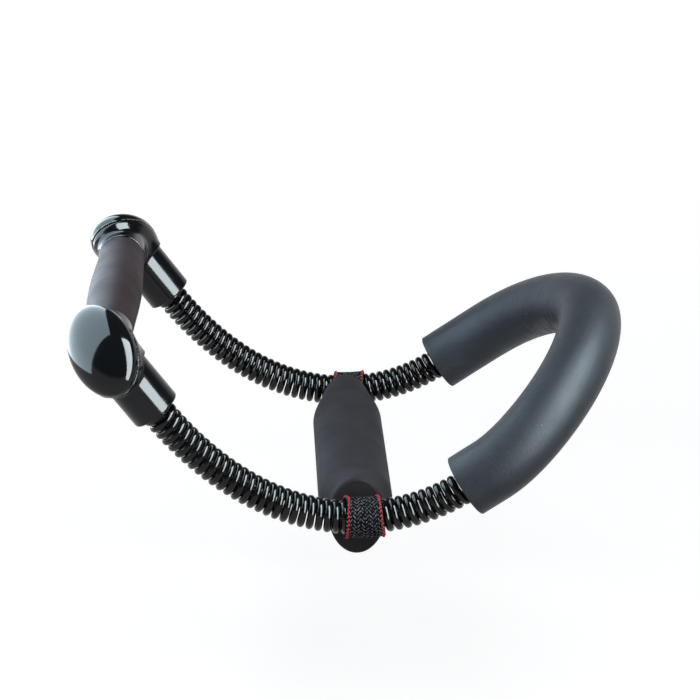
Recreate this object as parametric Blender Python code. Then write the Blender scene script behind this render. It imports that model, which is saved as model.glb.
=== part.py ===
"""Wrist trainer: a padded armrest and a hand grip joined by two coil springs, with a foam pad slung between them.

X runs along the forearm, the grip at -X and the elbow at +X. Y runs across and Z is up.
The origin is on the inner face of the armrest's bow, where the back of the forearm bears.
The pose is the flexed one: the springs leave the armrest, dip under the wrist and rise to the grip.
"""

import math

import bmesh
import bpy
import numpy as np
from mathutils import Matrix, Vector

MM = 0.001

# Spacing and clearances
SPRING_SPACING = 160 * MM
FIT = 0.3 * MM
SPRING_FIT = 0.5 * MM

# Armrest
FOAM_RADIUS = 16.25 * MM
FOAM_EDGE = 1.2 * MM
ARMREST_TILT = math.radians(42.1)
LEG_DROP = math.radians(8.0)
LEG_DROP_REACH = 45 * MM
BOW_DEPTH = 77.7 * MM
BOW_POWER = 1.8
ROD_RADIUS = 5 * MM
ROD_SEAT = 6.5 * MM
ANCHOR_LENGTH = 9 * MM

# Springs
COIL_RADIUS = 6.75 * MM
WIRE_RADIUS = 1.75 * MM
TURNS = 41
POINTS_PER_TURN = 8
SPRING_SEAT = 6 * MM
END_BEND = 2.1 * MM
ARM_SIDE_LENGTH = 69.8 * MM
WRIST_SIDE_LENGTH = 105.6 * MM
PAD_BEND_RADIUS = 92.8 * MM
GRIP_BEND_RADIUS = 236.9 * MM

# Seats inside the spring ends
SPIGOT_RADIUS = 4 * MM
SPIGOT_LENGTH = 7 * MM

# Pad
PAD_FROM_ARMREST = 56 * MM
PAD_DROP = 6 * MM
PAD_RADIUS = 19 * MM
PAD_END_HALF_WIDTH = 14.3 * MM
PAD_END_HALF_HEIGHT = 21.3 * MM
PAD_PINCH_LENGTH = 20 * MM
PAD_TO_SPRING = 12.5 * MM
PAD_EDGE = 1.5 * MM
CORE_RADIUS = 12 * MM
CORE_WALL = 0.8 * MM
CORE_INSET = 6 * MM
STRAP_WIDTH = 19 * MM
STRAP_THICKNESS = 1.4 * MM
STRAP_FIT = 0.4 * MM
STRAP_SHIFT = 2.8 * MM
TAIL_SPREAD = math.radians(4)
STRAP_TAIL = 26 * MM

# Elbow fittings
ELBOW_TO_SLEEVE_END = 38.7 * MM
SLEEVE_RISE = 1.2 * MM
SLEEVE_RADIUS = 12.4 * MM
SLEEVE_EDGE = 0.8 * MM
COLLAR_RADIUS = 14 * MM
COLLAR_FROM_CORNER = 7.7 * MM
COLLAR_LENGTH = 5 * MM
CORNER_HALF_LENGTH = 25.2 * MM
CORNER_HALF_WIDTH = 16.5 * MM
CORNER_DEPTH = 19 * MM
MITRE_STOCK = 6 * MM
BARREL_RADIUS = 13.2 * MM
BARREL_END_RADIUS = 12.5 * MM
BARREL_LENGTH = 25 * MM
CAP_BULGE = 11.5 * MM
CAP_RIM = 1.6 * MM
PLUG_LENGTH = 11 * MM

# Grip
GRIP_END_RADIUS = 12.2 * MM
GRIP_MIDDLE_RADIUS = 13.6 * MM
GRIP_EDGE = 1 * MM
TUBE_RADIUS = 8 * MM
TUBE_WALL = 1.5 * MM
TUBE_SEAT = 13 * MM
INSERT_LENGTH = 12 * MM
SCREW_RADIUS = 2 * MM
SCREW_REACH = 9 * MM
SCREW_HEAD_RADIUS = 4 * MM
SCREW_CROWN_RADIUS = 2.8 * MM
SCREW_HEAD_HEIGHT = 2.8 * MM
WASHER_RADIUS = 4.7 * MM
WASHER_THICKNESS = 1 * MM
RECESS_DEPTH = 8.5 * MM

# Facets
FOAM_SIDES = 16
ROD_SIDES = 10
TURNED_SIDES = 20
SMALL_SIDES = 12
BOW_STATIONS = 26
GRIP_STATIONS = 8
PINCH_STEPS = 3
STRAP_ARC_STEPS = 16
STRAP_STATIONS = 4
DOME_LEVELS = 6
MARCH_STEPS = 400

# Values that follow
LEG_STRAIGHT = SPRING_SEAT + ANCHOR_LENGTH
ARMREST_REACH = LEG_STRAIGHT + BOW_DEPTH
SPRING_REACH = ARM_SIDE_LENGTH + WRIST_SIDE_LENGTH

ACROSS = Vector((0, 1, 0))
SIDES = {"left": 1, "right": -1}


def clear_scene():
    """Empty the file that the script starts in."""
    for found in list(bpy.data.objects):
        bpy.data.objects.remove(found, do_unlink=True)


def make_material(name, colour, roughness, metallic=0.0, coat=0.0):
    """A Principled BSDF with the sub-part's colour."""
    material = bpy.data.materials.new(name)
    material.use_nodes = True
    shader = material.node_tree.nodes["Principled BSDF"]
    shader.inputs["Base Color"].default_value = (*colour, 1)
    shader.inputs["Roughness"].default_value = roughness
    shader.inputs["Metallic"].default_value = metallic
    shader.inputs["Coat Weight"].default_value = coat
    material.diffuse_color = (*colour, 1)
    return material


def add_object(name, mesh, material):
    """Link a mesh as one named, smooth-shaded object."""
    mesh.name = name
    mesh.shade_smooth()
    mesh.set_sharp_from_angle(angle=math.radians(40))
    made = bpy.data.objects.new(name, mesh)
    bpy.context.scene.collection.objects.link(made)
    mesh.materials.append(material)
    return made


def march(angles, step):
    """Points of a line in the XZ plane that heads along each angle in turn for one step."""
    angles = np.asarray(angles)
    middle = (angles[1:] + angles[:-1]) / 2
    x = np.concatenate(([0], np.cumsum(np.cos(middle) * step)))
    z = np.concatenate(([0], np.cumsum(np.sin(middle) * step)))
    return x, z


def leg_slope(distance):
    """Rise angle of the armrest's side view, which drops a little towards the leg's straight end."""
    beyond = LEG_DROP_REACH - np.maximum(distance, LEG_STRAIGHT)
    near_end = np.clip(beyond / (LEG_DROP_REACH - LEG_STRAIGHT), 0, 1)
    return ARMREST_TILT - LEG_DROP * near_end**2


LEG_DISTANCES = np.linspace(0, ARMREST_REACH, MARCH_STEPS + 1)
LEG_X, LEG_Z = march(leg_slope(LEG_DISTANCES), ARMREST_REACH / MARCH_STEPS)
CROWN = Vector((math.cos(ARMREST_TILT), 0, math.sin(ARMREST_TILT))) * FOAM_RADIUS
LEG_END_X = CROWN.x - LEG_X[-1]
LEG_END_Z = CROWN.z - LEG_Z[-1]
LEG_END_SLOPE = float(leg_slope(0.0))

SPRING_DISTANCES = np.linspace(0, SPRING_REACH, MARCH_STEPS + 1)
SPRING_CURVATURE = np.interp(
    SPRING_DISTANCES,
    [0, ARM_SIDE_LENGTH, SPRING_REACH],
    [1 / PAD_BEND_RADIUS, 1 / PAD_BEND_RADIUS, 1 / GRIP_BEND_RADIUS],
)
SPRING_STEP = SPRING_REACH / MARCH_STEPS
SPRING_TURNING = np.concatenate(
    ([0], np.cumsum((SPRING_CURVATURE[1:] + SPRING_CURVATURE[:-1]) / 2 * SPRING_STEP))
)
SPRING_ANGLES = math.pi + LEG_END_SLOPE - SPRING_TURNING
SPRING_X, SPRING_Z = march(SPRING_ANGLES, SPRING_STEP)


def armrest_point(distance, across):
    """A point of the armrest's middle line, by distance from the leg's end and by place across."""
    x = LEG_END_X + np.interp(distance, LEG_DISTANCES, LEG_X)
    z = LEG_END_Z + np.interp(distance, LEG_DISTANCES, LEG_Z)
    return Vector((x, across, z))


def armrest_line():
    """The U: up the right leg, round the bow, which is a superellipse, and down the left leg."""
    half = SPRING_SPACING / 2
    legs = [(LEG_STRAIGHT * i / 2, -half) for i in range(2)]
    bow = []
    for i in range(BOW_STATIONS + 1):
        turn = math.pi * (i / BOW_STATIONS - 0.5)
        along = max(math.cos(turn), 0.0)
        across = math.sin(turn)
        size = (along**BOW_POWER + abs(across) ** BOW_POWER) ** (-1 / BOW_POWER)
        bow.append((LEG_STRAIGHT + BOW_DEPTH * size * along, half * size * across))
    back = [(distance, -across) for distance, across in reversed(legs)]
    return [armrest_point(*place) for place in legs + bow + back]


def spring_point(distance, side):
    """The spring's middle line: where it is and which way it heads, straight beyond both its ends."""
    inside = min(max(distance, 0), SPRING_REACH)
    angle = float(np.interp(inside, SPRING_DISTANCES, SPRING_ANGLES))
    heading = Vector((math.cos(angle), 0, math.sin(angle)))
    place = Vector(
        (
            LEG_END_X + float(np.interp(inside, SPRING_DISTANCES, SPRING_X)),
            side * SPRING_SPACING / 2,
            LEG_END_Z + float(np.interp(inside, SPRING_DISTANCES, SPRING_Z)),
        )
    )
    return place + heading * (distance - inside), heading


def side_up(heading):
    """The way square to a heading in the side view, on the side that faces up."""
    return ACROSS.cross(heading).normalized()


def path_frames(points):
    """Heading at each point of a path, square to the path at both its ends."""
    headings = []
    for i in range(len(points)):
        before = points[max(i - 1, 0)]
        after = points[min(i + 1, len(points) - 1)]
        headings.append((after - before).normalized())
    return headings


def ring_around(centre, heading, radius, sides, up):
    """Points round a centre, square to the heading."""
    first = heading.cross(up).normalized()
    second = heading.cross(first).normalized()
    ring = []
    for i in range(sides):
        turn = math.tau * i / sides
        ring.append(centre + (first * math.cos(turn) + second * math.sin(turn)) * radius)
    return ring


def mesh_from_rings(rings, closed):
    """Bridge rings into one closed body. A closed chain of rings leaves a bore through it."""
    work = bmesh.new()
    loops = [[work.verts.new(point) for point in ring] for ring in rings]
    count = len(loops[0])
    pairs = list(zip(loops, loops[1:]))
    if closed:
        pairs.append((loops[-1], loops[0]))
    for low, high in pairs:
        for i in range(count):
            j = (i + 1) % count
            work.faces.new((low[i], low[j], high[j], high[i]))
    if not closed:
        work.faces.new(loops[0])
        work.faces.new(loops[-1])
    bmesh.ops.recalc_face_normals(work, faces=work.faces)
    mesh = bpy.data.meshes.new("rings")
    work.to_mesh(mesh)
    work.free()
    return mesh


def mesh_turned(profile, sides):
    """Turn an outline of (radius, height) points round Z. It is filled where it starts and ends on Z."""
    rings = [
        ring_around(Vector((0, 0, height)), Vector((0, 0, 1)), radius, sides, ACROSS)
        for radius, height in profile
        if radius > 0
    ]
    return mesh_from_rings(rings, profile[0][0] > 0)


def place_along(made, centre, axis):
    """Stand an object built along Z at a centre, along an axis."""
    turn = Vector(axis).to_track_quat("Z", "Y").to_matrix().to_4x4()
    made.matrix_world = Matrix.Translation(centre) @ turn
    return made


def place_in_axes(made, centre, x_axis, y_axis, z_axis):
    """Set an object by a centre and three unit axes."""
    turn = Matrix((x_axis, y_axis, z_axis)).transposed().to_4x4()
    made.matrix_world = Matrix.Translation(centre) @ turn
    return made


def as_tool(made):
    """A cutter or an added blank, which is not part of the object."""
    made.hide_render = True
    made.display_type = "WIRE"
    return made


def combine(target, tool, operation):
    """Cut or add a tool shape with an exact Boolean."""
    as_tool(tool)
    modifier = target.modifiers.new(f"{operation.lower()}_{tool.name}", "BOOLEAN")
    modifier.object = tool
    modifier.operation = operation
    modifier.solver = "EXACT"


def join_axis(name, place):
    """An empty on a joint's axis, which carries the pieces that the joint moves."""
    empty = bpy.data.objects.new(name, None)
    empty.empty_display_size = 0.01
    empty.location = place
    bpy.context.scene.collection.objects.link(empty)
    return empty


def carry(empty, pieces):
    """Parent pieces to a joint's empty where they are."""
    bpy.context.view_layer.update()
    for piece in pieces:
        world = piece.matrix_world.copy()
        piece.parent = empty
        piece.matrix_parent_inverse = empty.matrix_world.inverted()
        piece.matrix_world = world


# Armrest

FOAM_BORE = ROD_RADIUS + FIT
POCKET_RADIUS = COIL_RADIUS + WIRE_RADIUS + SPRING_FIT
ANCHOR_RADIUS = POCKET_RADIUS - FIT


def along_path(points, distance):
    """Point and heading at a distance along a path of straight steps."""
    walked = 0.0
    for start, end in zip(points, points[1:]):
        step = (end - start).length
        if walked + step >= distance - 1e-9:
            share = (distance - walked) / step
            return start.lerp(end, min(max(share, 0), 1)), (end - start).normalized()
        walked += step
    return points[-1].copy(), (points[-1] - points[-2]).normalized()


def line_length(points):
    """Length of a path of straight steps."""
    return sum((end - start).length for start, end in zip(points, points[1:]))


def bore_distances(length):
    """Stations along the U that the foam's bore and the rod share."""
    return [float(place) for place in np.linspace(LEG_STRAIGHT, length - LEG_STRAIGHT, BOW_STATIONS)]


def make_armrest_foam(material):
    """A foam tube along the U, with a bore for the rod and a wider pocket at each end."""
    line = armrest_line()
    headings = path_frames(line)
    length = line_length(line)
    up = Vector((-math.sin(ARMREST_TILT), 0, math.cos(ARMREST_TILT)))

    def ring(distance, radius):
        if distance <= LEG_STRAIGHT:
            heading = headings[0]
            centre = line[0] + heading * distance
        elif distance >= length - LEG_STRAIGHT:
            heading = headings[-1]
            centre = line[-1] - heading * (length - distance)
        else:
            centre, heading = along_path(line, distance)
        return ring_around(centre, heading, radius, FOAM_SIDES, up)

    middle = [
        ring_around(centre, heading, FOAM_RADIUS, FOAM_SIDES, up)
        for centre, heading in list(zip(line, headings))[2:-2]
    ]
    outer = [ring(0, FOAM_RADIUS - FOAM_EDGE), ring(FOAM_EDGE, FOAM_RADIUS)]
    outer += middle
    outer += [ring(length - FOAM_EDGE, FOAM_RADIUS), ring(length, FOAM_RADIUS - FOAM_EDGE)]
    profile = [(length, POCKET_RADIUS), (length - LEG_STRAIGHT, POCKET_RADIUS)]
    profile += [(distance, FOAM_BORE) for distance in reversed(bore_distances(length))]
    profile += [(LEG_STRAIGHT, POCKET_RADIUS), (0, POCKET_RADIUS)]
    inner = [ring(distance, radius) for distance, radius in profile]
    return add_object("armrest_foam", mesh_from_rings(outer + inner, True), material)


def make_armrest_rod(material):
    """The steel U inside the foam, whose ends sit in the anchors."""
    line = armrest_line()
    up = Vector((-math.sin(ARMREST_TILT), 0, math.cos(ARMREST_TILT)))
    length = line_length(line)
    first = LEG_STRAIGHT - ROD_SEAT
    rings = []
    for distance in [first, *bore_distances(length), length - first]:
        centre, heading = along_path(line, distance)
        rings.append(ring_around(centre, heading, ROD_RADIUS, ROD_SIDES, up))
    return add_object("armrest_rod", mesh_from_rings(rings, False), material)


def make_armrest_anchor(side_name, material):
    """A turned plug: a blind bore for the rod's end and a spigot inside the spring."""
    side = SIDES[side_name]
    line = armrest_line()
    if side > 0:
        line.reverse()
    heading = (line[1] - line[0]).normalized()
    seat = line[0] + heading * SPRING_SEAT
    bore = ROD_RADIUS + 2 * FIT
    depth = ROD_SEAT + FIT
    profile = [
        (0, ANCHOR_LENGTH - depth),
        (bore, ANCHOR_LENGTH - depth),
        (bore, ANCHOR_LENGTH - FIT),
        (ANCHOR_RADIUS, ANCHOR_LENGTH - FIT),
        (ANCHOR_RADIUS, 0),
        (SPIGOT_RADIUS, 0),
        (SPIGOT_RADIUS, -SPIGOT_LENGTH),
        (0, -SPIGOT_LENGTH),
    ]
    made = add_object(f"armrest_anchor_{side_name}", mesh_turned(profile, TURNED_SIDES), material)
    return place_along(made, seat, heading)


# Springs


def spring_wire(side):
    """Middle points of the wire: a right-hand helix round the bent line, each end turned to run along it."""
    tip = SPRING_SEAT - FIT
    straight_end = tip - 2 * WIRE_RADIUS
    lead = straight_end - END_BEND
    first = -lead
    last = SPRING_REACH + lead
    swing = END_BEND / COIL_RADIUS

    def wire_point(distance, turn):
        centre, heading = spring_point(distance, side)
        return centre + (side_up(heading) * math.cos(turn) + ACROSS * math.sin(turn)) * COIL_RADIUS

    steps = TURNS * POINTS_PER_TURN
    end_turn = math.tau * TURNS
    points = [
        wire_point(-tip, -swing),
        wire_point(-straight_end, -swing),
    ]
    for i in range(steps + 1):
        share = i / steps
        points.append(wire_point(first + (last - first) * share, end_turn * share))
    points += [
        wire_point(SPRING_REACH + straight_end, end_turn + swing),
        wire_point(SPRING_REACH + tip, end_turn + swing),
    ]
    return points


def least_gap(points):
    """Smallest space between one stretch of the wire and the turns beside it."""
    sites = np.array([tuple(point) for point in points])
    apart = POINTS_PER_TURN // 2 + 1
    least = math.inf
    for i in range(len(sites) - apart):
        reach = sites[i + apart : i + 2 * POINTS_PER_TURN]
        least = min(least, float(np.min(np.linalg.norm(reach - sites[i], axis=1))))
    return least - 2 * WIRE_RADIUS


def make_spring(side_name, material):
    """One unbroken tube of wire as a bevelled curve with filled ends."""
    points = spring_wire(SIDES[side_name])
    name = f"spring_{side_name}"
    print(f"{name}: least gap to itself {least_gap(points) / MM:.2f} mm")
    curve = bpy.data.curves.new(name, "CURVE")
    curve.dimensions = "3D"
    curve.bevel_depth = WIRE_RADIUS
    curve.bevel_resolution = 1
    curve.use_fill_caps = True
    curve.twist_mode = "MINIMUM"
    spline = curve.splines.new("POLY")
    spline.points.add(len(points) - 1)
    for target, point in zip(spline.points, points):
        target.co = (*point, 1)
    curve.materials.append(material)
    made = bpy.data.objects.new(name, curve)
    bpy.context.scene.collection.objects.link(made)
    return made


# Pad

STRAP_INNER = COIL_RADIUS + WIRE_RADIUS + STRAP_FIT
STRAP_OUTER = STRAP_INNER + STRAP_THICKNESS
PAD_HALF_LENGTH = SPRING_SPACING / 2 - PAD_TO_SPRING


def pad_place():
    """Middle of the roller's axis, below the springs at the pad's place along them."""
    centre, heading = spring_point(PAD_FROM_ARMREST, 0)
    return centre - side_up(heading) * PAD_DROP


def strap_outline():
    """Outside and hole of the webbing loop seen along the spring, as matching (inboard, up) points."""
    tail_end = PAD_TO_SPRING + STRAP_TAIL
    top = STRAP_THICKNESS - PAD_DROP
    base = -STRAP_THICKNESS - PAD_DROP
    top_touch = math.acos(STRAP_OUTER / math.hypot(PAD_TO_SPRING, top)) + math.atan2(top, PAD_TO_SPRING)
    base_touch = math.acos(STRAP_OUTER / math.hypot(PAD_TO_SPRING, base)) - math.atan2(base, PAD_TO_SPRING)
    turns = list(np.linspace(top_touch, math.tau - base_touch, STRAP_ARC_STEPS + 1))
    tail_turn = -math.asin(PAD_DROP / STRAP_INNER)
    top_turns = [tail_turn + TAIL_SPREAD, (tail_turn + top_touch) / 2]
    base_turns = [(tail_turn - base_touch) / 2, tail_turn - TAIL_SPREAD]
    outer = [(tail_end, top), (PAD_TO_SPRING, top)]
    outer += [(STRAP_OUTER * math.cos(turn), STRAP_OUTER * math.sin(turn)) for turn in turns]
    outer += [(PAD_TO_SPRING, base), (tail_end, base)]
    hole = [
        (STRAP_INNER * math.cos(turn), STRAP_INNER * math.sin(turn))
        for turn in top_turns + turns + base_turns
    ]
    return outer, hole


def make_strap(side_name, material):
    """A webbing loop drawn a little towards the armrest, with its tail running into the roller's core."""
    side = SIDES[side_name]
    outer, hole = strap_outline()

    def row(outline, across):
        points = []
        for inboard, height in outline:
            shift = STRAP_SHIFT * min(max(1 - inboard / PAD_TO_SPRING, 0), 1)
            centre, heading = spring_point(PAD_FROM_ARMREST + across - shift, side)
            points.append(centre - ACROSS * side * inboard + side_up(heading) * height)
        return points

    stations = [float(place) for place in np.linspace(-STRAP_WIDTH / 2, STRAP_WIDTH / 2, STRAP_STATIONS + 1)]
    outer_rows = [row(outer, across) for across in stations]
    hole_rows = [row(hole, across) for across in stations]
    mesh = mesh_from_rings(outer_rows + hole_rows[::-1], True)
    return add_object(f"pad_strap_{side_name}", mesh, material)


def oval_round_y(centre, place, half_width, half_height):
    """A ring round the Y axis through a centre, at a place across."""
    ring = []
    for i in range(TURNED_SIDES):
        turn = math.tau * i / TURNED_SIDES
        ring.append(centre + Vector((half_width * math.cos(turn), place, half_height * math.sin(turn))))
    return ring


def make_pad_foam(material):
    """The foam roller: round in the middle, drawn in to an upright oval at both ends, with a bore."""
    centre = pad_place()
    half = PAD_HALF_LENGTH
    ends = [(half, PAD_EDGE), (half - PAD_EDGE, 0)]
    ends += [(half - PAD_PINCH_LENGTH * i / PINCH_STEPS, 0) for i in range(1, PINCH_STEPS + 1)]
    rings = []
    for place, edge in ends + [(-place, edge) for place, edge in reversed(ends)]:
        share = min((half - abs(place)) / PAD_PINCH_LENGTH, 1)
        fullness = share * share * (3 - 2 * share)
        half_width = PAD_END_HALF_WIDTH + (PAD_RADIUS - PAD_END_HALF_WIDTH) * fullness
        half_height = PAD_END_HALF_HEIGHT + (PAD_RADIUS - PAD_END_HALF_HEIGHT) * fullness
        rings.append(oval_round_y(centre, place, half_width - edge / 2, half_height - edge))
    bore = CORE_RADIUS + FIT
    rings += [oval_round_y(centre, place, bore, bore) for place in (-half, half)]
    return add_object("pad_foam", mesh_from_rings(rings, True), material)


def make_pad_core(material):
    """The thin tube inside the roller, which turns round the webbing."""
    half = PAD_HALF_LENGTH - CORE_INSET
    inner = CORE_RADIUS - CORE_WALL
    profile = [(inner, -half), (CORE_RADIUS, -half), (CORE_RADIUS, half), (inner, half)]
    made = add_object("pad_core", mesh_turned(profile, TURNED_SIDES), material)
    return place_along(made, pad_place(), ACROSS)


# Elbow fittings and grip


def sleeve_foot(side):
    """Foot of the sleeve's axis, a little above the corner, and the direction to the spring."""
    sleeve_end, heading = spring_point(SPRING_REACH, side)
    return sleeve_end + heading * ELBOW_TO_SLEEVE_END, -heading


def elbow_axes(side):
    """Corner point and the directions to the spring, to the grip and out of the corner."""
    foot, to_spring = sleeve_foot(side)
    to_grip = ACROSS * -side
    corner = foot - side_up(-to_spring) * SLEEVE_RISE
    outward = -(to_spring + to_grip).normalized()
    return corner, to_spring, to_grip, outward


def corner_axes(side):
    """Unit axes of the oval corner: its long way, its short way and outward."""
    corner, to_spring, to_grip, outward = elbow_axes(side)
    long_way = (to_spring - to_grip).normalized()
    return long_way, outward.cross(long_way).normalized(), outward


def oval_ring(height, size):
    """A ring of the corner's oval at a height over the mitre."""
    ring = []
    for i in range(TURNED_SIDES):
        turn = math.tau * i / TURNED_SIDES
        across = CORNER_HALF_LENGTH * size * math.cos(turn)
        along = CORNER_HALF_WIDTH * size * math.sin(turn)
        ring.append(Vector((across, along, height)))
    return ring


def make_corner_blank():
    """The swollen corner behind the mitre: half an ellipsoid, with stock over the mitre to cut off."""
    rings = [oval_ring(MITRE_STOCK, 1)]
    for i in range(DOME_LEVELS):
        turn = math.pi / 2 * (i + 0.5) / DOME_LEVELS
        rings.append(oval_ring(-CORNER_DEPTH * math.sin(turn), math.cos(turn)))
    return mesh_from_rings(rings, False)


def make_elbow(side_name, material):
    """Corner fitting: a barrel to the grip and a sleeve to the spring, cut off at the mitre for the cap."""
    side = SIDES[side_name]
    foot, to_spring = sleeve_foot(side)
    corner, to_spring, to_grip, outward = elbow_axes(side)
    long_way, short_way, outward = corner_axes(side)
    barrel = [
        (0, -MITRE_STOCK),
        (BARREL_RADIUS, -MITRE_STOCK),
        (BARREL_END_RADIUS, BARREL_LENGTH - SLEEVE_EDGE),
        (BARREL_END_RADIUS - SLEEVE_EDGE, BARREL_LENGTH),
        (0, BARREL_LENGTH),
    ]
    made = add_object(f"elbow_{side_name}", mesh_turned(barrel, TURNED_SIDES), material)
    place_along(made, corner, to_grip)

    sleeve = [
        (0, -MITRE_STOCK),
        (SLEEVE_RADIUS, -MITRE_STOCK),
        (SLEEVE_RADIUS, COLLAR_FROM_CORNER),
        (COLLAR_RADIUS, COLLAR_FROM_CORNER + SLEEVE_EDGE),
        (COLLAR_RADIUS, COLLAR_FROM_CORNER + COLLAR_LENGTH - SLEEVE_EDGE),
        (SLEEVE_RADIUS, COLLAR_FROM_CORNER + COLLAR_LENGTH),
        (SLEEVE_RADIUS, ELBOW_TO_SLEEVE_END - SLEEVE_EDGE),
        (SLEEVE_RADIUS - SLEEVE_EDGE, ELBOW_TO_SLEEVE_END),
        (0, ELBOW_TO_SLEEVE_END),
    ]
    sleeve_blank = add_object(f"sleeve_blank_{side_name}", mesh_turned(sleeve, TURNED_SIDES), material)
    place_along(sleeve_blank, foot, to_spring)
    combine(made, sleeve_blank, "UNION")

    corner_blank = add_object(f"corner_blank_{side_name}", make_corner_blank(), material)
    place_in_axes(corner_blank, corner, long_way, short_way, outward)
    combine(made, corner_blank, "UNION")

    reach = 2 * CORNER_HALF_LENGTH
    socket_depth = SPRING_SEAT + PLUG_LENGTH
    socket = [
        (0, ELBOW_TO_SLEEVE_END - socket_depth),
        (POCKET_RADIUS, ELBOW_TO_SLEEVE_END - socket_depth),
        (POCKET_RADIUS, ELBOW_TO_SLEEVE_END + SLEEVE_RADIUS),
        (0, ELBOW_TO_SLEEVE_END + SLEEVE_RADIUS),
    ]
    socket_cutter = add_object(f"socket_cutter_{side_name}", mesh_turned(socket, TURNED_SIDES), material)
    place_along(socket_cutter, foot, to_spring)
    combine(made, socket_cutter, "DIFFERENCE")

    tube_start = BARREL_LENGTH - TUBE_SEAT
    head_room = WASHER_RADIUS + FIT
    hole = SCREW_RADIUS + FIT
    tube_room = TUBE_RADIUS + FIT
    grip_bore = [
        (0, -reach),
        (head_room, -reach),
        (head_room, RECESS_DEPTH),
        (hole, RECESS_DEPTH),
        (hole, tube_start),
        (tube_room, tube_start),
        (tube_room, BARREL_LENGTH + SLEEVE_RADIUS),
        (0, BARREL_LENGTH + SLEEVE_RADIUS),
    ]
    grip_cutter = add_object(f"grip_cutter_{side_name}", mesh_turned(grip_bore, TURNED_SIDES), material)
    place_along(grip_cutter, corner, to_grip)
    combine(made, grip_cutter, "DIFFERENCE")

    block = [(0, 0), (reach, 0), (reach, reach), (0, reach)]
    mitre = add_object(f"mitre_cutter_{side_name}", mesh_turned(block, 4), material)
    place_in_axes(mitre, corner, long_way, short_way, outward)
    combine(made, mitre, "DIFFERENCE")
    return made


def make_cap(side_name, material):
    """The oval dome on the mitre, with a low upright rim."""
    side = SIDES[side_name]
    corner, to_spring, to_grip, outward = elbow_axes(side)
    long_way, short_way, outward = corner_axes(side)
    rings = [oval_ring(FIT, 1)]
    for i in range(DOME_LEVELS):
        turn = math.pi / 2 * i / DOME_LEVELS
        height = FIT + CAP_RIM + (CAP_BULGE - CAP_RIM) * math.sin(turn)
        rings.append(oval_ring(height, math.cos(turn)))
    made = add_object(f"elbow_cap_{side_name}", mesh_from_rings(rings, False), material)
    return place_in_axes(made, corner, long_way, short_way, outward)


def make_spring_plug(side_name, material):
    """A turned plug in the elbow's socket, with a spigot inside the spring."""
    foot, to_spring = sleeve_foot(SIDES[side_name])
    profile = [
        (0, FIT),
        (ANCHOR_RADIUS, FIT),
        (ANCHOR_RADIUS, PLUG_LENGTH),
        (SPIGOT_RADIUS, PLUG_LENGTH),
        (SPIGOT_RADIUS, PLUG_LENGTH + SPIGOT_LENGTH),
        (0, PLUG_LENGTH + SPIGOT_LENGTH),
    ]
    made = add_object(f"spring_plug_{side_name}", mesh_turned(profile, TURNED_SIDES), material)
    socket_floor = ELBOW_TO_SLEEVE_END - SPRING_SEAT - PLUG_LENGTH
    return place_along(made, foot + to_spring * socket_floor, to_spring)


def grip_middle():
    """Middle of the grip's axis."""
    corner, to_spring, to_grip, outward = elbow_axes(1)
    return Vector((corner.x, 0, corner.z))


def make_grip_tube(material):
    """The steel tube that both elbows sit on."""
    half = SPRING_SPACING / 2 - BARREL_LENGTH + TUBE_SEAT - FIT
    inner = TUBE_RADIUS - TUBE_WALL
    profile = [(inner, -half), (TUBE_RADIUS, -half), (TUBE_RADIUS, half), (inner, half)]
    made = add_object("grip_tube", mesh_turned(profile, TURNED_SIDES), material)
    return place_along(made, grip_middle(), ACROSS)


def make_grip_sleeve(material):
    """The grip between the elbows, a little thicker in the palm."""
    half = SPRING_SPACING / 2 - BARREL_LENGTH - FIT
    bore = TUBE_RADIUS + FIT
    profile = [(bore, -half), (GRIP_END_RADIUS - GRIP_EDGE, -half)]
    for i in range(GRIP_STATIONS + 1):
        share = 2 * i / GRIP_STATIONS - 1
        swell = 0.5 * (1 + math.cos(math.pi * share))
        radius = GRIP_END_RADIUS + (GRIP_MIDDLE_RADIUS - GRIP_END_RADIUS) * swell
        profile.append((radius, share * (half - GRIP_EDGE)))
    profile += [(GRIP_END_RADIUS - GRIP_EDGE, half), (bore, half)]
    made = add_object("grip_sleeve", mesh_turned(profile, TURNED_SIDES), material)
    return place_along(made, grip_middle(), ACROSS)


def make_tube_insert(side_name, material):
    """The threaded insert in the grip tube's end."""
    side = SIDES[side_name]
    corner, to_spring, to_grip, outward = elbow_axes(side)
    start = BARREL_LENGTH - TUBE_SEAT + FIT
    outer = TUBE_RADIUS - TUBE_WALL - FIT
    hole = SCREW_RADIUS + FIT
    profile = [(hole, 0), (outer, 0), (outer, INSERT_LENGTH), (hole, INSERT_LENGTH)]
    made = add_object(f"tube_insert_{side_name}", mesh_turned(profile, SMALL_SIDES), material)
    return place_along(made, corner + to_grip * start, to_grip)


def make_cap_screw(side_name, material):
    """The screw under the cap, through the elbow's web into the insert."""
    side = SIDES[side_name]
    corner, to_spring, to_grip, outward = elbow_axes(side)
    seat = RECESS_DEPTH - WASHER_THICKNESS - 2 * FIT
    tip = BARREL_LENGTH - TUBE_SEAT + SCREW_REACH
    profile = [
        (0, seat - SCREW_HEAD_HEIGHT),
        (SCREW_CROWN_RADIUS, seat - SCREW_HEAD_HEIGHT),
        (SCREW_HEAD_RADIUS, seat - SCREW_HEAD_HEIGHT / 2),
        (SCREW_HEAD_RADIUS, seat),
        (SCREW_RADIUS, seat),
        (SCREW_RADIUS, tip),
        (0, tip),
    ]
    made = add_object(f"cap_screw_{side_name}", mesh_turned(profile, SMALL_SIDES), material)
    return place_along(made, corner, to_grip)


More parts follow.
